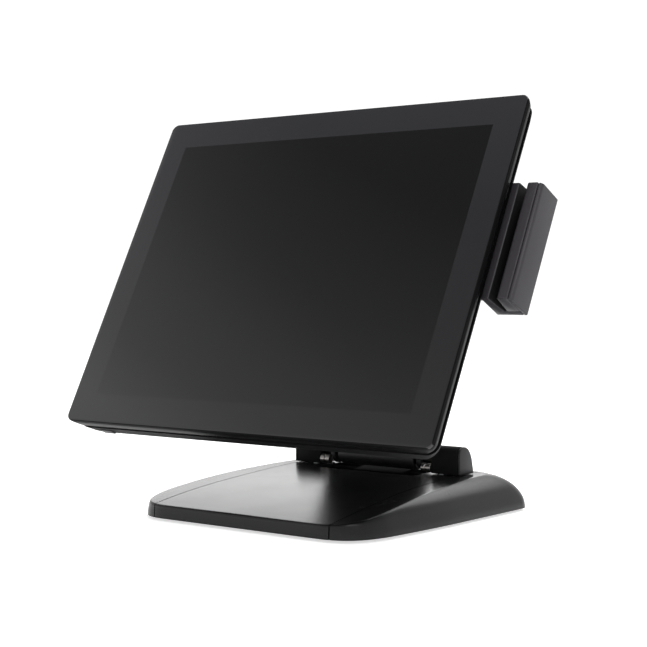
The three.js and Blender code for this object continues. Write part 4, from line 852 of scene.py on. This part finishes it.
# %% [markdown]
# ## Rounding what is already right
# Most of the smaller parts already have the right shape, but their edges are as sharp as a drawing's.
# A moulding tool can't hold a sharp edge, and a steel part loses its edges in the tumbling drum. So each
# of these parts is copied, its triangles are merged back into whole faces, and its edges are rounded by
# what its process leaves: half a millimetre or more on mouldings, a quarter on screws and pins.


def softened(name, material, width, steps=3, sharper_than=32):
    """A copy of an engineering part with whole faces and rounded edges, as a piece that stands for it."""
    source = nodes[name]
    mesh = bmesh.new()
    mesh.from_mesh(source.data)
    mesh.transform(source.matrix_world)
    bmesh.ops.remove_doubles(mesh, verts=mesh.verts, dist=0.005 * MM)
    bmesh.ops.dissolve_limit(mesh, angle_limit=math.radians(0.6), verts=mesh.verts, edges=mesh.edges)
    round_edges(mesh, width, steps, sharper_than)
    return add_piece(f"{name}_finished", mesh, material, source["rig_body"], [name], crisp=36)


SOFTENED = [
    (READER_ABS, 0.5, ["reader_guide"]),
    (READER_ABS, 0.9, ["reader_housing"]),
    (COVER_ABS, 0.7, ["reader_bracket", "cable_cover", "neck_cover_front", "neck_cover_rear"]),
    (COVER_ABS, 0.7, ["hinge_cover_left", "hinge_cover_right"]),
    (FOAM, 0.7, ["cable_guide"]),
    (CAP_ABS, 0.9, ["hinge_cap_left", "hinge_cap_right"]),
    (CAP_ABS, 0.4, ["power_button"]),
    (POWDER, 0.5, ["neck_arm", "upper_hinge_plate", "base_plate"]),
    (POWDER, 0.25, ["cover_screw_1", "cover_screw_2"]),
    (ZINC, 0.3, ["io_panel", "lower_bracket_left", "lower_bracket_right"]),
    (NYLON_AND_SLOT_SHADE, 0.3, ["dc_inlet", "serial_port", "lan_port", "usb_port"]),
    (PHOSPHATE, 0.25, ["upper_shaft_left", "upper_shaft_right", "lower_shaft_left", "lower_shaft_right"]),
    (NICKEL, 0.25, ["hinge_screw_1", "hinge_screw_2", "hinge_screw_3", "hinge_screw_4", "read_head"]),
    (RUBBER, 0.6, ["foot_1", "foot_2", "foot_3", "foot_4"]),
]
for material, width, names in SOFTENED:
    for name in names:
        softened(name, material, width)

# %% [markdown]
# ## The card reader's slot and side cover
# The slot's walls get the near-black nylon: painted shade, for the shade deep in the narrow slot.
# The side cover is a thin lid. It starts a little behind the housing's face and turns the corner in
# one wide curve, so the seam lies right on the corner: the housing's edge catches the light, and the
# seam beside it is dark.

# %% Slot walls painted dark for their shade, and side cover
# Painted shade: the slot's walls take the near-black nylon instead of the reader's grey, so the deep,
# narrow slot looks shaded.
guide = bpy.data.objects["reader_guide_finished"]
guide.data.materials.append(NYLON_AND_SLOT_SHADE)
slot_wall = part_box("reader_guide")[0].x + 6.4 * MM
slot_faces_painted_dark = 0
for face in guide.data.polygons:
    if face.normal.x > 0.6 and face.center.x > slot_wall:
        face.material_index = 1
        slot_faces_painted_dark += 1
print("faces of the slot's lining:", slot_faces_painted_dark)

lid_low, lid_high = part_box("reader_cover")
LID_IN, LID_OUT = ((x - GLASS_FACE.x) / MM for x in (lid_low.x, lid_high.x))
READER_FRONT, READER_BACK = 12, 38
READER_ENDS = (-21, 71)
corner = [(LID_IN, READER_FRONT + 0.7), (LID_OUT - 0.4, READER_FRONT + 1.1), (LID_OUT, READER_FRONT + 4)]
heel = [(LID_OUT, READER_BACK - 1.6), (LID_OUT, READER_BACK), (LID_OUT - 1.6, READER_BACK)]
lid_outline = [curve_point(corner, step / 8) for step in range(9)]
lid_outline += [curve_point(heel, step / 6) for step in range(7)] + [(LID_IN, READER_BACK)]
lid = skin([[on_head(x, depth, level) for x, depth in lid_outline] for level in READER_ENDS])
round_edges(lid, 0.6, 3, 60)
add_piece("reader_side_lid", lid, READER_ABS, "head", ["reader_cover"])

# %% [markdown]
# ## Tension screws
# The bright collars beside the housings are turned on a lathe. A turned part is its side view spun round
# its axis: here a collar with a broken edge at each end and a groove in the middle, where a tool grips
# it. Its thin shank sits off the middle, so that turning the collar presses on the brake.

# %% Tension screws
COLLAR_RADIUS = 3.7
SHANK_SHIFT = 2.6
COLLAR_PROFILE = [(0, 2.9), (0.1, 3.3), (0.5, 3.7), (3.4, 3.7), (3.7, 3.4), (3.8, 3.0), (5.0, 3.0),
                  (5.1, 3.4), (5.4, 3.7), (8.8, 3.7), (9.1, 3.5), (9.2, 3.2)]


def turned(start, towards, profile, steps=48):
    """A side view spun round an axis along x. Each row is a distance from start and a radius."""
    rings = []
    for along, radius in profile:
        angles = [2 * math.pi * i / steps for i in range(steps)]
        rings.append([start + Vector((towards * along, radius * math.cos(a), radius * math.sin(a))) * MM
                      for a in angles])
    return skin(rings)


for side, word in ((-1, "left"), (1, "right")):
    name = f"tension_screw_{word}"
    low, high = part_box(name)
    inner_end = Vector((low.x if side > 0 else high.x, low.y + COLLAR_RADIUS * MM, (low.z + high.z) / 2))
    length = (high.x - low.x) / MM
    shank_start = inner_end + Vector((side * 5, SHANK_SHIFT, 0)) * MM
    shank = turned(shank_start, side, [(0, 1.85), (length - 5.3, 1.85), (length - 5, 1.5)], 20)
    screw = joined([turned(inner_end, side, COLLAR_PROFILE), shank])
    add_piece(f"{name}_turned", screw, NICKEL, nodes[name]["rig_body"], [name])

# %% [markdown]
# ## Parts that keep their engineering shape
# What is left has the right shape already and only needs its own finish.

# %% Finishes of the kept parts
FINISHES = [
    (FOAM, ["glass_gasket"]),
    (ZINC, ["display_panel", "main_chassis", "drive_tray"]),
    (BOARD, ["mainboard", "memory_module"]),
    (ALUMINIUM, ["cpu_heatsink"]),
    (POWDER, ["storage_drive"]),
    (NYLON_AND_SLOT_SHADE, ["speaker_left", "speaker_right"]),
    (NICKEL, ["friction_washer_left", "friction_washer_right"]),
    (IRON, ["ballast_weight"]),
]
for material, names in FINISHES:
    for name in names:
        nodes[name].data.materials.clear()
        nodes[name].data.materials.append(material)
    print(material.name, "on", names)
